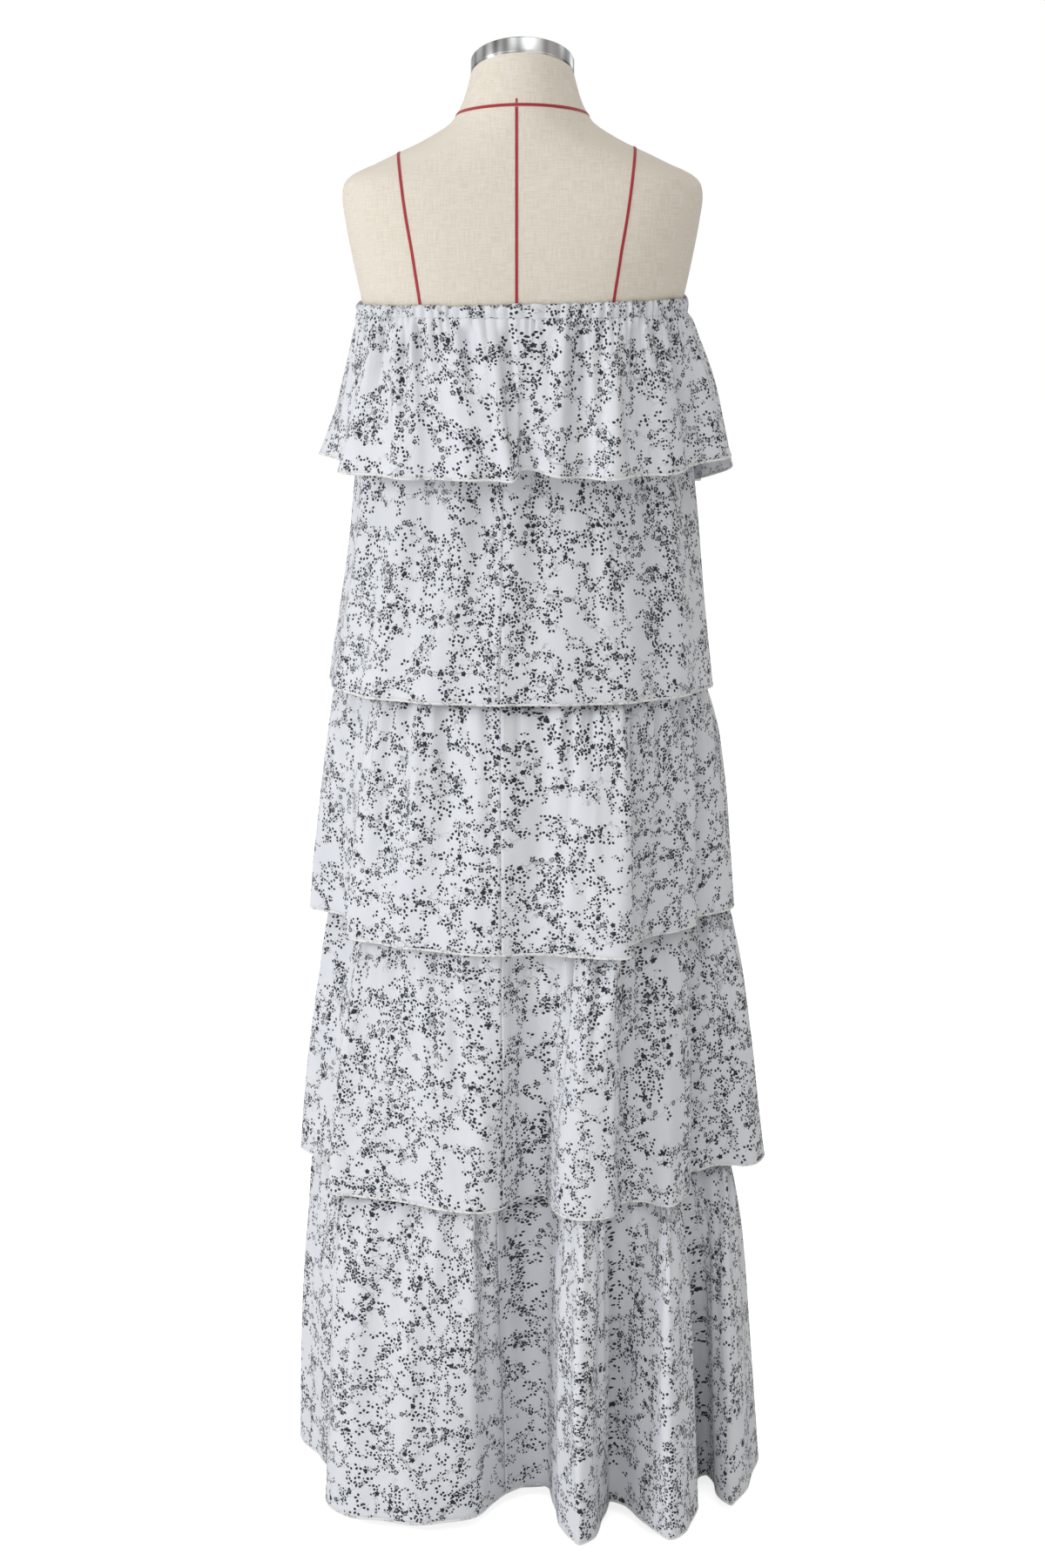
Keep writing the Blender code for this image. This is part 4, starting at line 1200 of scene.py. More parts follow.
@dataclass(frozen=True)
class Chiffon:
    """Sheer matt chiffon, its print, and its seams. A pair is a value at one end and at the other."""

    side: ClothSide
    white: Colour = (0.80, 0.815, 0.86, 1.0)
    bright_white: Colour = (0.87, 0.875, 0.895, 1.0)
    cream: Colour = (0.93, 0.925, 0.905, 1.0)
    grey: Colour = (0.45, 0.46, 0.5, 1.0)
    ink_dark: Colour = (0.020, 0.024, 0.036, 1.0)
    ink_soft: Colour = (0.045, 0.052, 0.070, 1.0)
    cloud_scale: float = 26.0
    ink_scale: float = 40.0
    hem_ink: float = 0.35
    reverse_ink: float = 0.55
    thread: float = 0.45 * MM
    seam_width: float = 5 * MM
    seam_rise: float = 1.2 * MM
    seam_height: float = 0.28
    allowance_grey: float = 0.04
    cut_edge: tuple[float, float] = (0.9 * MM, 0.2 * MM)
    cut_grey: float = 0.06
    weave_height: float = 0.3
    bump_depth: float = 0.35 * MM
    see_through: float = 0.24

    def material(self) -> bpy.types.Material:
        """Builds the nodes.

        Returns:
            The material.
        """
        graph = Graph(self.side.value)
        flat = graph.uv("cut")
        cloud = graph.noise(flat, self.cloud_scale, 3.0, flat=True)
        white = graph.blend(cloud, self.white, self.bright_white)
        from_edge = graph.split(graph.uv("edges"))[0]
        ink = SprigPrint().ink(graph, flat)
        dark = graph.blend(graph.noise(flat, self.ink_scale, 2.0, flat=True), self.ink_dark, self.ink_soft)
        if self.side is ClothSide.HEM:
            colour = graph.blend(graph.times(ink, self.hem_ink), self.cream, dark)
        else:
            if self.side is ClothSide.REVERSE:
                ink = graph.times(ink, self.reverse_ink)
            allowance = graph.step(from_edge, self.seam_width, self.seam_width * 0.9)
            grey = graph.times(allowance, self.allowance_grey)
            grey = graph.plus(grey, graph.times(graph.step(from_edge, *self.cut_edge), self.cut_grey))
            colour = graph.blend(ink, graph.blend(grey, white, self.grey), dark)
        weave = self.weave(graph, flat)
        inner = graph.step(from_edge, self.seam_width, self.seam_width * 0.6)
        seam = graph.times(inner, graph.step(from_edge, 0.0, self.seam_rise))
        height = graph.plus(graph.times(weave, self.weave_height), graph.times(seam, self.seam_height))
        graph.surface(
            {
                "Base Color": colour,
                "Roughness": graph.span(cloud, 0.72, 0.86),
                "Normal": graph.bump(height, self.bump_depth, 0.6),
                "Specular IOR Level": 0.2,
                "Sheen Weight": 0.12,
                "Sheen Roughness": 0.5,
            }
        )
        glow = graph.add("BsdfTranslucent", {"Color": colour})
        shares = {0: self.see_through, 1: graph.shader.outputs[0], 2: glow.outputs[0]}
        graph.feed(graph.output.inputs["Surface"], graph.add("MixShader", shares).outputs[0])
        return graph.material

    def weave(self, graph: Graph, flat: object) -> Socket:
        """Fine crossed threads, a little uneven."""
        x, y, _ = graph.split(flat)
        wander = graph.times(graph.noise(flat, 120.0, 1.0, flat=True), 3.0)
        return graph.woven(x, y, self.thread, wander)


@dataclass(frozen=True)
class Linen:
    """The form's cover: plain-woven natural linen with slubs and flecks."""

    base: Colour = (0.665, 0.60, 0.503, 1.0)
    pale: Colour = (0.745, 0.685, 0.595, 1.0)
    fleck: Colour = (0.44, 0.37, 0.28, 1.0)
    fleck_share: float = 0.4
    thread: float = 0.85 * MM
    bump_depth: float = 0.3 * MM

    def material(self) -> bpy.types.Material:
        """Builds the nodes.

        Returns:
            The material.
        """
        graph = Graph("linen_cover")
        across, up = self.wrapped(graph)
        flat = graph.join(across, up)
        wander = graph.times(graph.noise(flat, 70.0, 2.0, flat=True), 4.0)
        weave = graph.woven(across, up, self.thread, wander)
        slub = graph.plus(graph.streaks(flat, (60.0, 900.0, 1.0)), graph.streaks(flat, (900.0, 60.0, 1.0)))
        slub = graph.times(slub, 0.5)
        colour = graph.blend(graph.step(slub, 0.38, 0.62), self.base, self.pale)
        flecks = graph.step(graph.streaks(flat, (180.0, 700.0, 1.0), 1.0), 0.72, 0.80)
        colour = graph.blend(graph.times(flecks, self.fleck_share), colour, self.fleck)
        soft = graph.noise(graph.place(), 7.0, 2.0)
        colour = graph.blend(graph.span(soft, 0.0, 0.25), colour, self.base)
        height = graph.plus(graph.times(weave, 0.5), slub)
        graph.surface(
            {
                "Base Color": colour,
                "Roughness": graph.span(slub, 0.75, 0.95),
                "Normal": graph.bump(height, self.bump_depth, 0.7),
                "Specular IOR Level": 0.2,
                "Sheen Weight": 0.15,
            }
        )
        return graph.material

    @staticmethod
    def wrapped(graph: Graph) -> tuple[Socket, Socket]:
        """Flat coordinates laid on the form from its back, its sides and its top."""
        x, y, z = graph.split(graph.place())
        normal = graph.add("NewGeometry").outputs["Normal"]
        nx, ny, nz = (graph.absolute(part) for part in graph.split(normal))
        side = graph.step(graph.minus(nx, ny), -0.15, 0.15)
        top = graph.step(nz, 0.72, 0.86)
        across = graph.plus(graph.times(x, graph.minus(1.0, side)), graph.times(y, side))
        up = graph.plus(graph.times(z, graph.minus(1.0, top)), graph.times(y, top))
        return across, up


@dataclass(frozen=True)
class RedTape:
    """Narrow woven style tape, with ribs across it."""

    red: Colour = (0.26, 0.006, 0.014, 1.0)
    bright: Colour = (0.44, 0.016, 0.028, 1.0)
    rib: float = 0.7 * MM

    def material(self) -> bpy.types.Material:
        """Builds the nodes.

        Returns:
            The material.
        """
        graph = Graph("red_style_tape")
        along, across, _ = graph.split(graph.uv("cut"))
        ribs = graph.span(graph.sine(graph.times(along, 2 * math.pi / self.rib)), 0.5, 1.0)
        selvedge = graph.step(graph.absolute(graph.minus(across, 0.5)), 0.34, 0.42)
        soft = graph.noise(graph.place(), 300.0, 2.0)
        # Painted shade and highlight: darker red in the grooves between the ribs and brighter on their
        # crests, with random tone from the noise
        colour = graph.blend(graph.times(graph.plus(ribs, soft), 0.5), self.red, self.bright)
        height = graph.larger(graph.times(ribs, 0.6), selvedge)
        graph.surface(
            {
                "Base Color": colour,
                "Roughness": graph.span(soft, 0.5, 0.7),
                "Normal": graph.bump(height, 0.15 * MM, 0.8),
                "Sheen Weight": 0.1,
            }
        )
        return graph.material


@dataclass(frozen=True)
class BrushedSteel:
    """Steel brushed round an axis through a point, which leans forward by tilt, with painted reflections in
    its base colour: broad dark and light stripes round the axis, over the brushed grain.
    """

    name: str
    centre: tuple[float, float, float] = (0.0, 0.0, 0.0)
    tilt: float = 0.0
    # dark and light: the two ends of the painted reflections and the grain in the base colour
    dark: Colour = (0.10, 0.10, 0.10, 1.0)
    light: Colour = (0.90, 0.90, 0.89, 1.0)
    fineness: float = 3500.0

    def material(self) -> bpy.types.Material:
        """Builds the nodes.

        Returns:
            The material.
        """
        graph = Graph(self.name)
        mapping = graph.add(
            "Mapping",
            {"Vector": graph.place(), "Location": self.centre, "Rotation": (-self.tilt, 0.0, 0.0)},
            vector_type="TEXTURE",
        )
        x, y, z = graph.split(mapping.outputs[0])
        radius = graph.vector("LENGTH", graph.join(x, y))
        angle = graph.maths("ARCTAN2", y, x)
        fine = graph.times(radius, self.fineness), graph.times(z, self.fineness)
        brushed = graph.noise(graph.join(*fine, graph.times(angle, 1.5)), 1.0, 3.0)
        marks = graph.noise(graph.place(), 45.0, 3.0)
        # Painted reflections: broad dark and light stripes in the base colour round the axis, with the fine
        # brushed grain laid over them
        painted_reflection_sweep = graph.noise(graph.join(graph.cosine(angle), graph.sine(angle), 0.3), 2.6, 1.0)
        painted_reflection_and_grain = graph.plus(graph.step(painted_reflection_sweep, 0.36, 0.68), graph.span(brushed, -0.12, 0.12), clamp=True)
        rough = graph.plus(graph.span(brushed, 0.22, 0.42), graph.span(marks, -0.05, 0.08))
        graph.surface(
            {
                "Base Color": graph.blend(painted_reflection_and_grain, self.dark, self.light),
                "Roughness": rough,
                "Normal": graph.bump(brushed, 0.05 * MM, 0.35),
                "Metallic": 1.0,
            }
        )
        return graph.material


@dataclass(frozen=True)
class Lacquer:
    """Smooth white lacquer with a faint orange-peel and a few scuffs."""

    colour: Colour = (0.78, 0.78, 0.77, 1.0)
    scuffed: Colour = (0.5, 0.49, 0.47, 1.0)

    def material(self) -> bpy.types.Material:
        """Builds the nodes.

        Returns:
            The material.
        """
        graph = Graph("white_lacquer")
        place = graph.place()
        peel = graph.noise(place, 450.0, 2.0)
        scuff = graph.step(graph.streaks(place, (30.0, 300.0, 300.0), 3.0, flat=False), 0.66, 0.72)
        graph.surface(
            {
                "Base Color": graph.blend(graph.times(scuff, 0.4), self.colour, self.scuffed),
                "Roughness": graph.plus(0.28, graph.times(scuff, 0.3)),
                "Normal": graph.bump(peel, 0.06 * MM, 0.3),
                "Coat Weight": 0.4,
            }
        )
        return graph.material


# Meshes

FAR_FROM_EDGE = 0.02
SHARP = math.radians(40)
SOFTENED = math.radians(35)


def grid_mesh(name: str, points: np.ndarray, wrap: bool = False, closed: bool = False) -> bpy.types.Mesh:
    """A grid of faces laid over points in space.

    Args:
        name: The mesh's name.
        points: Places as rows x columns x 3, from the top down and counter-clockwise.
        wrap: Whether the last column meets the first.
        closed: Whether the last row meets the first.

    Returns:
        The mesh, with a map named cut that holds each column's and row's share.
    """
    if wrap:
        points = np.concatenate([points, points[:, :1]], axis=1)
    if closed:
        points = np.concatenate([points, points[:1]], axis=0)
    rows, columns = points.shape[0] - 1, points.shape[1] - 1
    grid = bmesh.new()
    uv = grid.loops.layers.uv.new("cut")
    bmesh.ops.create_grid(grid, x_segments=columns, y_segments=rows, size=0.5)
    for face in grid.faces:
        for loop in face.loops:
            loop[uv].uv = (loop.vert.co.x + 0.5, loop.vert.co.y + 0.5)
    for vertex in grid.verts:
        column = round((vertex.co.x + 0.5) * columns)
        row = round((0.5 - vertex.co.y) * rows)
        vertex.co = points[row][column]
    if wrap or closed:
        bmesh.ops.remove_doubles(grid, verts=grid.verts, dist=0.005 * MM)
    mesh = bpy.data.meshes.new(name)
    grid.to_mesh(mesh)
    grid.free()
    mesh.shade_smooth()
    return mesh


def scale_cut_map(
    mesh: bpy.types.Mesh, width: float = 1.0, height: float = 1.0, shift: tuple[float, float] = (0.0, 0.0)
) -> None:
    """Scales a mesh's cut map and moves it.

    Args:
        mesh: The mesh.
        width: What its first number is multiplied by.
        height: What its second number is multiplied by.
        shift: What is then added to the two.
    """
    layer = mesh.uv_layers["cut"].data
    values = np.empty(len(layer) * 2, np.float32)
    layer.foreach_get("uv", values)
    values[0::2] = values[0::2] * width + shift[0]
    values[1::2] = values[1::2] * height + shift[1]
    layer.foreach_set("uv", values)


def add_wall(piece: bpy.types.Object, thickness: float) -> None:
    """Gives a sheet its thin wall, inwards from its printed face."""
    wall = piece.modifiers.new("wall", "SOLIDIFY")
    wall.thickness = thickness
    wall.offset = -1.0
    wall.material_offset = 1
    wall.material_offset_rim = 2


def add_piece(
    name: str, mesh: bpy.types.Mesh, materials: list[bpy.types.Material]
) -> bpy.types.Object:
    """Links a piece, gives it its materials and lets it ride on the dress's one body.

    Args:
        name: The piece's name.
        mesh: Its mesh, already in place.
        materials: Its materials, in the order that its faces number them.

    Returns:
        The piece.
    """
    piece = bpy.data.objects.new(name, mesh)
    for material in materials:
        mesh.materials.append(material)
    bpy.context.scene.collection.objects.link(piece)
    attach(piece, BODY)
    LOG.info("%s: %d faces", name, len(mesh.polygons))
    return piece


@dataclass
class Wardrobe:
    """The materials, each made once."""

    printed: bpy.types.Material = field(init=False)
    reverse: bpy.types.Material = field(init=False)
    hem: bpy.types.Material = field(init=False)
    linen: bpy.types.Material = field(init=False)
    tape: bpy.types.Material = field(init=False)

    def __post_init__(self) -> None:
        """Makes them."""
        self.printed = Chiffon(ClothSide.PRINTED).material()
        self.reverse = Chiffon(ClothSide.REVERSE).material()
        self.hem = Chiffon(ClothSide.HEM).material()
        self.linen = Linen().material()
        self.tape = RedTape().material()

    def cloth(self) -> list[bpy.types.Material]:
        """A sheet's materials: its face, its reverse and its cut edge."""
        return [self.printed, self.reverse, self.hem]


@dataclass
class ClothPanel:
    """One sheet of chiffon, cut flat and then draped."""

    name: str
    points: np.ndarray
    shift: tuple[float, float]
    thickness: float = 0.5 * MM

    def flat_size(self) -> tuple[float, float]:
        """The width along the hem and the length down the middle, in metres."""
        width = travelled_along(self.points[-1])[-1]
        length = np.mean([travelled_along(self.points[:, c])[-1] for c in range(0, self.points.shape[1], 8)])
        return float(width), float(length)

    def build(self, wardrobe: Wardrobe) -> bpy.types.Object:
        """Cuts the sheet as a flat grid, drapes it, and gives it its thin wall.

        Args:
            wardrobe: The materials.

        Returns:
            The sheet.
        """
        rows, columns = self.points.shape[0] - 1, self.points.shape[1] - 1
        width, length = self.flat_size()
        grid = bmesh.new()
        bmesh.ops.create_grid(grid, x_segments=columns, y_segments=rows, size=0.5)
        mesh = bpy.data.meshes.new(self.name)
        grid.to_mesh(mesh)
        grid.free()
        flat = np.empty(len(mesh.vertices) * 3, np.float32)
        mesh.vertices.foreach_get("co", flat)
        flat = flat.reshape(-1, 3)
        column = np.rint((flat[:, 0] + 0.5) * columns).astype(int)
        row = np.rint((0.5 - flat[:, 1]) * rows).astype(int)
        across = travelled_along(self.points[-1])
        middle = travelled_along(self.points[:, columns // 2])
        middle = middle / middle[-1] * length
        u, v = across[column], length - middle[row]
        corner = np.empty(len(mesh.loops), np.int32)
        mesh.loops.foreach_get("vertex_index", corner)
        maps = {
            "cut": np.stack([u + self.shift[0], v + self.shift[1]], axis=1),
            "edges": np.stack([np.minimum(u, width - u), v], axis=1),
        }
        for map_name, values in maps.items():
            layer = mesh.uv_layers.new(name=map_name)
            layer.data.foreach_set("uv", values[corner].astype(np.float32).ravel())
        mesh.vertices.foreach_set("co", self.points[row, column].astype(np.float32).ravel())
        mesh.update()
        mesh.shade_smooth()
        piece = add_piece(self.name, mesh, wardrobe.cloth())
        add_wall(piece, self.thickness)
        return piece


@dataclass
class RolledHem:
    """A narrow rolled hem along the lowest edge of a tier.

    Its middle lies above the cloth's edge by lifted, a share of its height, and behind its face by sunk.
    """

    name: str
    edge: np.ndarray
    above: np.ndarray
    height: float = 2.9 * MM
    thick: float = 1.6 * MM
    lifted: float = 0.36
    sunk: float = 0.25 * MM
    sides: int = 8

    def build(self, wardrobe: Wardrobe) -> bpy.types.Object:
        """Sweeps the hem's oval section along the edge.

        Args:
            wardrobe: The materials.

        Returns:
            The hem.
        """
        up = self.above - self.edge
        up /= np.linalg.norm(up, axis=1, keepdims=True)
        out = np.column_stack([outward(self.edge[:, :2]), np.zeros(len(self.edge))])
        out -= (out * up).sum(axis=1, keepdims=True) * up
        out /= np.linalg.norm(out, axis=1, keepdims=True)
        centre = self.edge + up * self.height * self.lifted - out * self.sunk
        rings = []
        for side in range(self.sides):
            angle = math.pi / 2 - 2 * math.pi * side / self.sides
            rings.append(
                centre
                + up * (math.sin(angle) * self.height / 2)
                + out * (math.cos(angle) * self.thick / 2)
            )
        mesh = grid_mesh(self.name, np.array(rings), wrap=True, closed=True)
        length = travelled_along(np.concatenate([self.edge, self.edge[:1]]))[-1]
        scale_cut_map(mesh, length, 2 * (self.height + self.thick))
        return add_piece(self.name, mesh, [wardrobe.hem])


def finish_mesh(mesh: bpy.types.Mesh) -> bpy.types.Mesh:
    """Closes a mesh's open ends, turns its faces outwards and keeps its edges crisp."""
    shell = bmesh.new()
    shell.from_mesh(mesh)
    rims = [edge for edge in shell.edges if edge.is_boundary]
    if rims:
        bmesh.ops.holes_fill(shell, edges=rims, sides=0)
    bmesh.ops.recalc_face_normals(shell, faces=shell.faces)
    shell.to_mesh(mesh)
    shell.free()
    mesh.shade_smooth()
    mesh.set_sharp_from_angle(angle=SHARP)
    return mesh


def turned_mesh(
    name: str, profile: list[tuple[float, float]], soften: float, placed: Matrix | None = None
) -> bpy.types.Mesh:
    """A solid of revolution about Z with softened edges.

    Args:
        name: The mesh's name.
        profile: Radius and height, from the top centre down to the foot's centre.
        soften: Width of the bevel on its sharp edges.
        placed: Where it goes, if it isn't upright at the origin.

    Returns:
        The mesh.
    """
    solid = bmesh.new()
    verts = [solid.verts.new((radius, 0.0, height)) for radius, height in profile]
    edges = [solid.edges.new(pair) for pair in zip(verts, verts[1:])]
    bmesh.ops.spin(
        solid,
        geom=[*verts, *edges],
        cent=(0, 0, 0),
        axis=(0, 0, 1),
        angle=2 * math.pi,
        steps=96,
        use_merge=True,
    )
    bmesh.ops.remove_doubles(solid, verts=solid.verts, dist=0.01 * MM)
    bmesh.ops.recalc_face_normals(solid, faces=solid.faces)
    sharp = [edge for edge in solid.edges if edge.calc_face_angle(0.0) > SOFTENED]
    bmesh.ops.bevel(
        solid,
        geom=sharp,
        offset=soften,
        offset_type="OFFSET",
        affect="EDGES",
        segments=3,
        profile=0.5,
        material=-1,
    )
    if placed is not None:
        bmesh.ops.transform(solid, matrix=placed, verts=solid.verts)
    mesh = bpy.data.meshes.new(name)
    solid.to_mesh(mesh)
    solid.free()
    mesh.shade_smooth()
    mesh.set_sharp_from_angle(angle=SHARP)
    return mesh


class CasingPoint(NamedTuple):
    """A point of the folded casing's section: its share of the height, and millimetres out from the form."""

    up: float
    out: float


CASING_SECTION = [
    CasingPoint(0, 0.0),
    CasingPoint(0.35, 0.0),
    CasingPoint(0.7, 0.0),
    CasingPoint(0.95, 0.3),
    CasingPoint(1.03, 1.2),
    CasingPoint(0.97, 2.3),
    CasingPoint(0.8, 2.9),
    CasingPoint(0.6, 3.3),
    CasingPoint(0.4, 3.4),
    CasingPoint(0.2, 3.6),
    CasingPoint(0.05, 3.9),
    CasingPoint(-0.05, 4.1),
]


@dataclass
class Dress:
    """The dress: casing, ruffle and four tiers, with their hems.

    The casing's gathers stand out by gather_out, rise by gather_up at its top and droop by scallop at its
    foot. Its flat cut is longer than its modelled foot, in the ratio of the two numbers of cut_per_foot,
    because gathers finer than the modelled ones take up the rest.
    """

    wardrobe: Wardrobe
    row: float = 6 * MM
    casing_rows: int = 24
    casing_seed: int = 3
    casing_wall: float = 0.4 * MM
    gather_steps: int = 8
    gather_out: float = 4.2 * MM
    gather_level: float = 0.25
    gather_full: float = 3.0
    gather_arch: tuple[float, float] = (0.55, 0.45)
    gather_up: float = 2.2 * MM
    droop: float = 0.7 * MM
    unevenness: float = 0.3 * MM
    scallop: float = 2.1 * MM
    scallop_from: float = 2.5
    cut_per_foot: tuple[float, float] = (1.45, 1.12)
    casing_shift: tuple[float, float] = (3.1, 2.4)

    def build(self) -> None:
        """Builds every piece of the dress from the top down."""
        self.casing()
        self.ruffle()
        self.skirt()

    def casing(self) -> None:
        """The elastic casing: a folded strip gathered on its elastic."""
        points = self.casing_points()
        mesh = grid_mesh("elastic_casing_cloth", points, wrap=True)
        cut, foot = self.cut_per_foot
        width = cut * travelled_along(points[-1])[-1] / foot
        height = travelled_along(points[:, 0])[-1]
        scale_cut_map(mesh, width, height, self.casing_shift)
        edges = mesh.uv_layers.new(name="edges").data
        edges.foreach_set("uv", np.full(2 * len(edges), FAR_FROM_EDGE, np.float32))
        piece = add_piece("elastic_casing_cloth", mesh, self.wardrobe.cloth())
        add_wall(piece, self.casing_wall)
        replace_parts(piece, "elastic_casing")

    def casing_points(self) -> np.ndarray:
        """The casing's printed face: its folded section swept round the form, with its gathers."""
        gathers = CasingGathers()
        columns = gathers.count * self.gather_steps
        turn = np.arange(columns) / columns
        draw = np.random.default_rng(self.casing_seed)
        crest = gathers.crest(turn)
        droop = Ripple(1.0, 1 / 24, 34).at(turn) * self.droop
        section = np.array(CASING_SECTION)
        steps = np.linspace(0, len(section) - 1, self.casing_rows + 1)
        ups, outs = (np.interp(steps, range(len(section)), column) for column in section.T)
        loops = []
        for up, out in zip(ups, outs):
            ring = form_ring(turn, CASING_FOOT + up * CASING_HEIGHT, CASING_CLEAR + out * MM)
            arch = self.gather_arch[0] + self.gather_arch[1] * math.sin(math.pi * np.clip(up, 0, 1))
            share = np.clip(out / self.gather_full, 0, 1) * arch
            ring = ring + outward(ring) * ((crest - self.gather_level) * share * self.gather_out)[:, None]
            lift = up * (CASING_HEIGHT + TOP_EDGE_SLOPE * ring[:, 0] + crest * self.gather_up)
            lift = lift + (droop + self.unevenness * draw.standard_normal(1)) * max(up, 0)
            if out > self.scallop_from:
                lift = lift - crest * self.scallop * (1 - rise(up, 0.4))
            loops.append(np.column_stack([ring, CASING_FOOT + lift]))
        return np.array(loops)

    def panels(
        self, tier: str, loops: np.ndarray, panels: dict[str, tuple[int, int]], seed: int
    ) -> dict[str, tuple[bpy.types.Object, ClothPanel]]:
        """Cuts a tier's closed surface into its panels and builds them.

        Args:
            tier: The tier's name.
            loops: Its surface, as rows from the top down.
            panels: Each panel's first and last column.
            seed: A number of the tier's own, which moves its print.

        Returns:
            Each panel's piece and its cut.
        """
        closed = np.concatenate([loops, loops[:, :1]], axis=1)
        made = {}
        for number, (panel, (first, last)) in enumerate(panels.items()):
            shift = (seed * 1.37 + number * 2.61, seed * 0.83)
            sheet = ClothPanel(f"{tier}_{panel}_cloth", closed[:, first : last + 1], shift)
            piece = sheet.build(self.wardrobe)
            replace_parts(piece, f"{tier}_{panel}")
            made[panel] = (piece, sheet)
        return made

    def hem(self, tier: str, loops: np.ndarray) -> bpy.types.Object:
        """The rolled hem round a tier."""
        return RolledHem(f"{tier}_rolled_hem", loops[-1].copy(), loops[-2].copy()).build(self.wardrobe)

    def ruffle(self) -> None:
        """The ruffle: two gathered widths and one hem."""
        drape = RuffleDrape()
        loops = drape.loops()
        made = self.panels("ruffle", loops, drape.panels, 1)
        hem = self.hem("ruffle", loops)
        for panel, (piece, sheet) in made.items():
            sheet.flat_size()

    def skirt(self) -> None:
        """Tiers 2 to 5, each of three panels with one hem."""
        drape = SkirtDrape()
        carries = ["elastic_casing_cloth"]
        for tier, foot in HEM_Z.items():
            top = CASING_FOOT - SEAM_GAP if tier == 2 else HEM_Z[tier - 1] + OVERLAP
            count = math.ceil((top - foot) / self.row)
            loops = np.array([drape.loop(tier, z) for z in np.linspace(top, foot, count + 1)])
            made = self.panels(f"tier{tier}", loops, drape.panels, tier)
            hem = self.hem(f"tier{tier}", loops)
            for panel, (piece, sheet) in made.items():
                sheet.flat_size()
            carries = [piece.name for piece, _ in made.values()]


# A tape's section: shares of its width from its middle, and of its thickness
TAPE_SECTION = ((0.5, 0), (0.46, 1), (0.2, 1.15), (-0.2, 1.15), (-0.46, 1), (-0.5, 0), (-0.2, 0), (0.2, 0))


@dataclass
class Tape:
    """A style tape laid on the form's cover."""

    name: str
    rays: list[tuple[Vector, Vector, Vector]]
    closed: bool = False
    width: float = 3.0 * MM
    thick: float = 0.45 * MM
    gap: float = 0.12 * MM

    def build(self, tree: BVHTree, wardrobe: Wardrobe) -> bpy.types.Object:
        """Lays the tape's section on the cover, ray by ray.

        Args:
            tree: The cover's surface.
            wardrobe: The materials.

        Returns:
            The tape.
        """
        rings: list[list[Vector]] = [[] for _ in TAPE_SECTION]
        for start, direction, across in self.rays:
            for ring, (side, high) in zip(rings, TAPE_SECTION):
                place, normal, _, _ = tree.ray_cast(start + across * side * self.width, direction)
                ring.append(place + normal * (self.gap + high * self.thick))
        points = np.array([[tuple(place) for place in ring] for ring in rings])
        mesh = grid_mesh(self.name, points, wrap=self.closed, closed=True)
        length = travelled_along(points[0])[-1]
        scale_cut_map(mesh, length)
        return add_piece(self.name, finish_mesh(mesh), [wardrobe.tape])


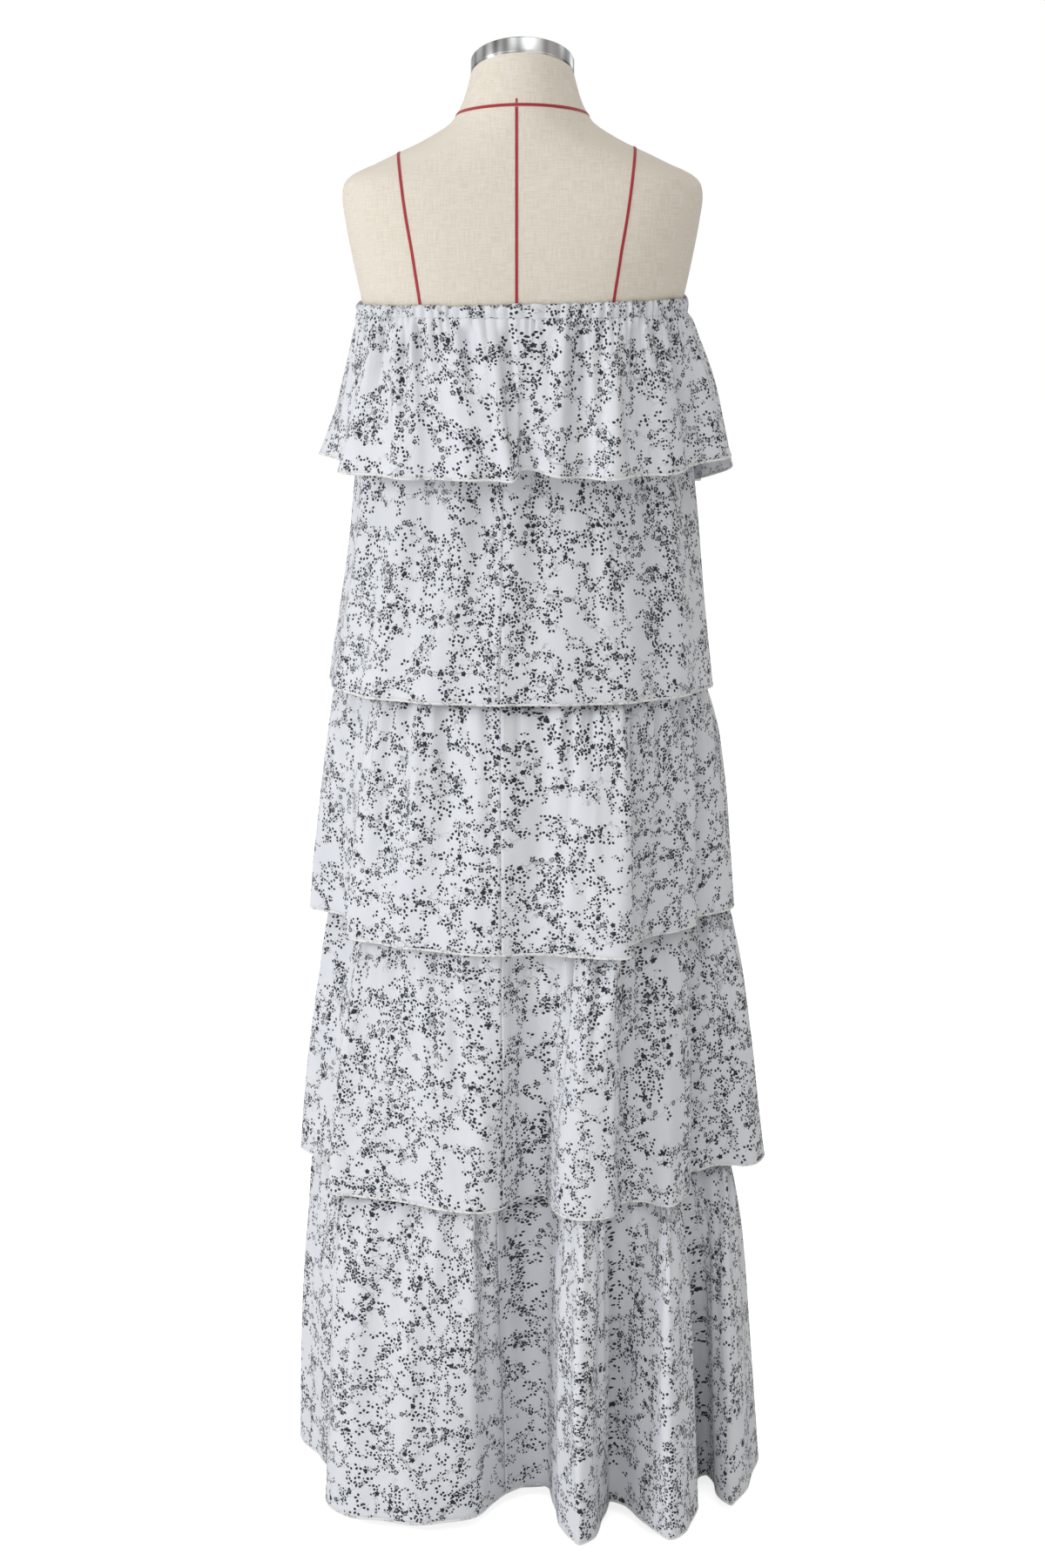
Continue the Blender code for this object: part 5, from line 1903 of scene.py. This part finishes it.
@dataclass
class DressForm:
    """The form: linen cover, style tapes, neck cap, flange, pole and base.

    The centre tapes end tape_meeting below the line of the neck tape, and its tip starts knot_height above.
    """

    wardrobe: Wardrobe
    columns: int = 176
    row: float = 6 * MM
    tape_foot: float = 1.284
    neck_tape: float = 1.4955
    neck_tape_back: float = 9 * MM
    neck_tape_front: float = 20 * MM
    tape_meeting: float = 2.3 * MM
    knot_height: float = 1.9 * MM
    centre_x: float = -0.006
    princess_x: float = 0.106
    princess_spread: float = 0.016
    princess_taper: float = 0.15
    princess_pivot: float = 1.36
    princess_y: float = -4 * MM
    ray_start: float = 0.4
    tip: float = 4.0 * MM
    cap_radius: float = 53.5 * MM
    cap_height: float = 18 * MM
    cap_dome: float = 3 * MM
    cap_edge: float = 1.6 * MM
    cap_groove: float = 0.8 * MM
    flange_radius: float = 48 * MM
    flange_height: float = 8 * MM
    pole_radius: float = 12.5 * MM
    plate_height: float = 10 * MM
    plate_flat: float = 113 * MM
    plate_radius: float = 116 * MM
    plate_bevel: float = 3 * MM
    socket_height: float = 44 * MM
    socket_radius: float = 24 * MM
    socket_mouth: float = 18 * MM
    socket_bevel: float = 6 * MM

    def build(self) -> None:
        """Builds the form from the cover outwards, and then its stand."""
        cover = self.cover()
        self.tapes(cover)
        self.cap()
        self.stand()

    def cover(self) -> bpy.types.Object:
        """The linen-covered body and neck."""
        heights = [section.z * MM for section in FORM]
        rows = [0.0]
        for number, (low, high) in enumerate(zip(heights, heights[1:])):
            count = max(2, math.ceil((high - low) / self.row))
            rows.extend(number + (np.arange(count) + 1) / count)
        turn = np.arange(self.columns) / self.columns
        loops = [form_points(turn, np.full(self.columns, row)) for row in reversed(rows)]
        mesh = finish_mesh(grid_mesh("form_cover", np.array(loops), wrap=True))
        piece = add_piece("form_cover", mesh, [self.wardrobe.linen])
        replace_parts(piece, "form_body")
        return piece

    def neck_height(self, turn: float) -> float:
        """Height of the neck tape, high at the back and low at the front."""
        cosine = math.cos(2 * math.pi * turn)
        return self.neck_tape + (self.neck_tape_back if cosine > 0 else self.neck_tape_front) * cosine

    def tapes(self, cover: bpy.types.Object) -> None:
        """Lays the five tapes.

        Args:
            cover: The linen cover that they lie on.
        """
        tree = BVHTree.FromObject(cover, bpy.context.evaluated_depsgraph_get())
        up, right = Vector((0, 0, 1)), Vector((1, 0, 0))
        rays = []
        for turn in np.arange(132) / 132:
            out = Vector((math.sin(2 * math.pi * turn), -math.cos(2 * math.pi * turn), 0))
            rays.append((Vector((0, 2 * MM, self.neck_height(turn))) + out * self.ray_start, -out, up))
        self.lay("tape_neck", rays, tree, closed=True)
        for side, name in ((-1, "tape_back_centre"), (1, "tape_front_centre")):
            top = self.neck_height(0 if side < 0 else 0.5) - self.tape_meeting
            rays = [
                (Vector((self.centre_x, side * self.ray_start, z)), Vector((0, -side, 0)), right)
                for z in np.linspace(self.tape_foot, top, 70)
            ]
            self.lay(name, rays, tree)
        knot = self.neck_height(0) + self.knot_height
        rays = [
            (Vector((self.centre_x, -self.ray_start, z)), Vector((0, 1, 0)), right)
            for z in np.linspace(knot, knot + self.tip, 6)
        ]
        Tape("tape_tip_ribbon", rays, width=2.0 * MM).build(tree, self.wardrobe)
        for side, name in ((-1, "tape_left"), (1, "tape_right")):
            back, over, front = [], [], []
            for z in np.linspace(self.tape_foot, self.princess_pivot, 19)[:-1]:
                x = self.centre_x + side * (self.princess_x - self.princess_taper * (self.princess_pivot - z))
                back.append((Vector((x, -self.ray_start, z)), Vector((0, 1, 0)), right))
                front.insert(0, (Vector((x, self.ray_start, z)), Vector((0, -1, 0)), right))
            for angle in np.linspace(0, math.pi, 91):
                x = self.centre_x + side * (self.princess_x + self.princess_spread * math.sin(angle))
                away = Vector((0, -math.cos(angle), math.sin(angle)))
                centre = Vector((x, self.princess_y, self.princess_pivot))
                over.append((centre + away * self.ray_start, -away, right))
            self.lay(name, back + over + front, tree)

    def lay(self, name: str, rays: list, tree: BVHTree, closed: bool = False) -> None:
        """Builds one tape, which stands for the solid of the same name."""
        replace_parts(Tape(f"{name}_ribbon", rays, closed).build(tree, self.wardrobe), name)

    def cap(self) -> None:
        """The brushed steel cap on the neck, tilted with it."""
        neck = FORM[-1]
        turned = Matrix.Rotation(-NECK_TILT, 4, "X")
        along = turned @ Vector((0, 0, 1))
        centre = Vector((0, neck.lean * MM, neck.z * MM)) + along * SEAM_GAP
        radius, height, edge = self.cap_radius, self.cap_height, self.cap_edge
        profile = [
            (radius * share, height + self.cap_dome * (1 - share**2))
            for share in (0.0, 0.15, 0.3, 0.45, 0.6, 0.75, 0.88)
        ]
        profile += [(radius - edge, height), (radius, height - edge), (radius, 2.2 * MM)]
        profile += [(radius - self.cap_groove, edge), (radius - self.cap_groove, 0.0), (0.0, 0.0)]
        steel = BrushedSteel("brushed_steel_cap", tuple(centre), NECK_TILT).material()
        mesh = turned_mesh("neck_cap_steel", profile, 0.5 * MM, Matrix.Translation(centre) @ turned)
        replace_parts(add_piece("neck_cap_steel", mesh, [steel]), "neck_cap")

    def stand(self) -> None:
        """The flange, the pole and the base plate with its socket."""
        steel = BrushedSteel("brushed_steel_stand").material()
        flange_top = FORM[0].z * MM - SEAM_GAP
        flange_foot = flange_top - self.flange_height
        plate, socket = self.plate_height, self.socket_height
        cylinders = (
            ("form_flange", self.flange_radius, flange_top, flange_foot),
            ("pole", self.pole_radius, flange_foot - SEAM_GAP, socket + SEAM_GAP),
        )
        for name, radius, top, foot in cylinders:
            profile = [(0, top), (radius, top), (radius, foot), (0, foot)]
            mesh = turned_mesh(f"{name}_steel", profile, 1.0 * MM)
            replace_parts(add_piece(f"{name}_steel", mesh, [steel]), name)
        profile = [
            (0, socket),
            (self.socket_mouth, socket),
            (self.socket_radius, socket - self.socket_bevel),
            (self.socket_radius, plate),
            (self.plate_flat, plate),
            (self.plate_radius, plate - self.plate_bevel),
            (self.plate_radius, 0),
            (0, 0),
        ]
        mesh = turned_mesh("base_plate_lacquer", profile, 1.0 * MM)
        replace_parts(add_piece("base_plate_lacquer", mesh, [Lacquer().material()]), "base_plate")


class SoftLight(NamedTuple):
    """A square soft light, which faces a height on the pole's line."""

    name: str
    place: tuple[float, float, float]
    aim_z: float
    size: float
    power: float


SOFT_LIGHTS = [
    SoftLight("key", (-3.1, -1.5, 2.0), 0.7, 1.0, 58.0),
    SoftLight("fill", (2.3, -2.5, 1.0), 0.8, 2.2, 7.0),
    SoftLight("low", (-0.8, -2.6, 0.4), 0.3, 1.2, 14.0),
    SoftLight("rim_left", (-2.4, 2.0, 2.2), 0.8, 1.8, 9.0),
    SoftLight("rim_right", (2.4, 2.0, 2.2), 0.8, 1.8, 16.0),
    SoftLight("top", (0.0, -0.9, 3.6), 0.8, 2.0, 21.0),
]


@dataclass
class Studio:
    """The camera, the pale floor and the soft light."""

    eye: tuple[float, float, float] = (0.0, -2.75, 1.435)
    pitch: float = 13.3
    lens: float = 59.14

    def build(self) -> None:
        """Sets up the stage."""
        self.camera()
        self.floor()
        self.lights()

    def camera(self) -> None:
        """The camera, at the photograph's height and angle."""
        data = bpy.data.cameras.new("camera")
        data.lens = self.lens
        data.sensor_width = 36.0
        data.clip_end = 60.0
        camera = bpy.data.objects.new("camera", data)
        camera.location = self.eye
        camera.rotation_euler = (math.radians(90 - self.pitch), 0.0, 0.0)
        bpy.context.scene.collection.objects.link(camera)
        bpy.context.scene.camera = camera

    def floor(self) -> None:
        """A plain pale floor."""
        grid = bmesh.new()
        bmesh.ops.create_grid(grid, x_segments=4, y_segments=4, size=14.0)
        bmesh.ops.translate(grid, vec=(0, 0, -0.3 * MM), verts=grid.verts)
        mesh = bpy.data.meshes.new("floor")
        grid.to_mesh(mesh)
        grid.free()
        graph = Graph("pale_floor")
        soft = graph.noise(graph.place(), 3.0, 2.0)
        seen = graph.add("LightPath").outputs["Is Camera Ray"]
        graph.surface(
            {
                "Base Color": graph.blend(soft, (0.93, 0.93, 0.93, 1), (0.95, 0.95, 0.95, 1)),
                "Roughness": 0.8,
                "Specular IOR Level": 0.0,
                "Emission Color": (1.0, 1.0, 1.0, 1.0),
                "Emission Strength": graph.times(seen, 0.75),
            }
        )
        mesh.materials.append(graph.material)
        floor = bpy.data.objects.new("floor", mesh)
        bpy.context.scene.collection.objects.link(floor)

    def lights(self) -> None:
        """A bright surround and six soft lights."""
        scene = bpy.context.scene
        scene.view_settings.view_transform = "Standard"
        world = bpy.data.worlds.new("white_surround")
        scene.world = world
        world.use_nodes = True
        nodes, links = world.node_tree.nodes, world.node_tree.links
        lit = nodes["Background"]
        lit.inputs["Color"].default_value = (1.0, 0.965, 0.925, 1.0)
        lit.inputs["Strength"].default_value = 0.46
        seen = nodes.new("ShaderNodeBackground")
        seen.inputs["Color"].default_value = (1.0, 1.0, 1.0, 1.0)
        seen.inputs["Strength"].default_value = 1.0
        path = nodes.new("ShaderNodeLightPath")
        mix = nodes.new("ShaderNodeMixShader")
        links.new(path.outputs["Is Camera Ray"], mix.inputs[0])
        links.new(lit.outputs[0], mix.inputs[1])
        links.new(seen.outputs[0], mix.inputs[2])
        links.new(mix.outputs[0], nodes["World Output"].inputs["Surface"])
        for name, place, aim_z, size, power in SOFT_LIGHTS:
            data = bpy.data.lights.new(name, "AREA")
            data.size = size
            data.energy = power
            data.color = (0.93, 0.965, 1.0)
            light = bpy.data.objects.new(name, data)
            light.location = place
            aim = Vector((0.0, 0.0, aim_z)) - Vector(place)
            light.rotation_euler = aim.to_track_quat("-Z", "Y").to_euler()
            scene.collection.objects.link(light)


def main() -> None:
    """Builds the form, the dress and the studio, in that order."""
    logging.basicConfig(level=logging.INFO, format="%(message)s")
    wardrobe = Wardrobe()
    DressForm(wardrobe).build()
    Dress(wardrobe).build()
    Studio().build()


if __name__ == "__main__":
    main()
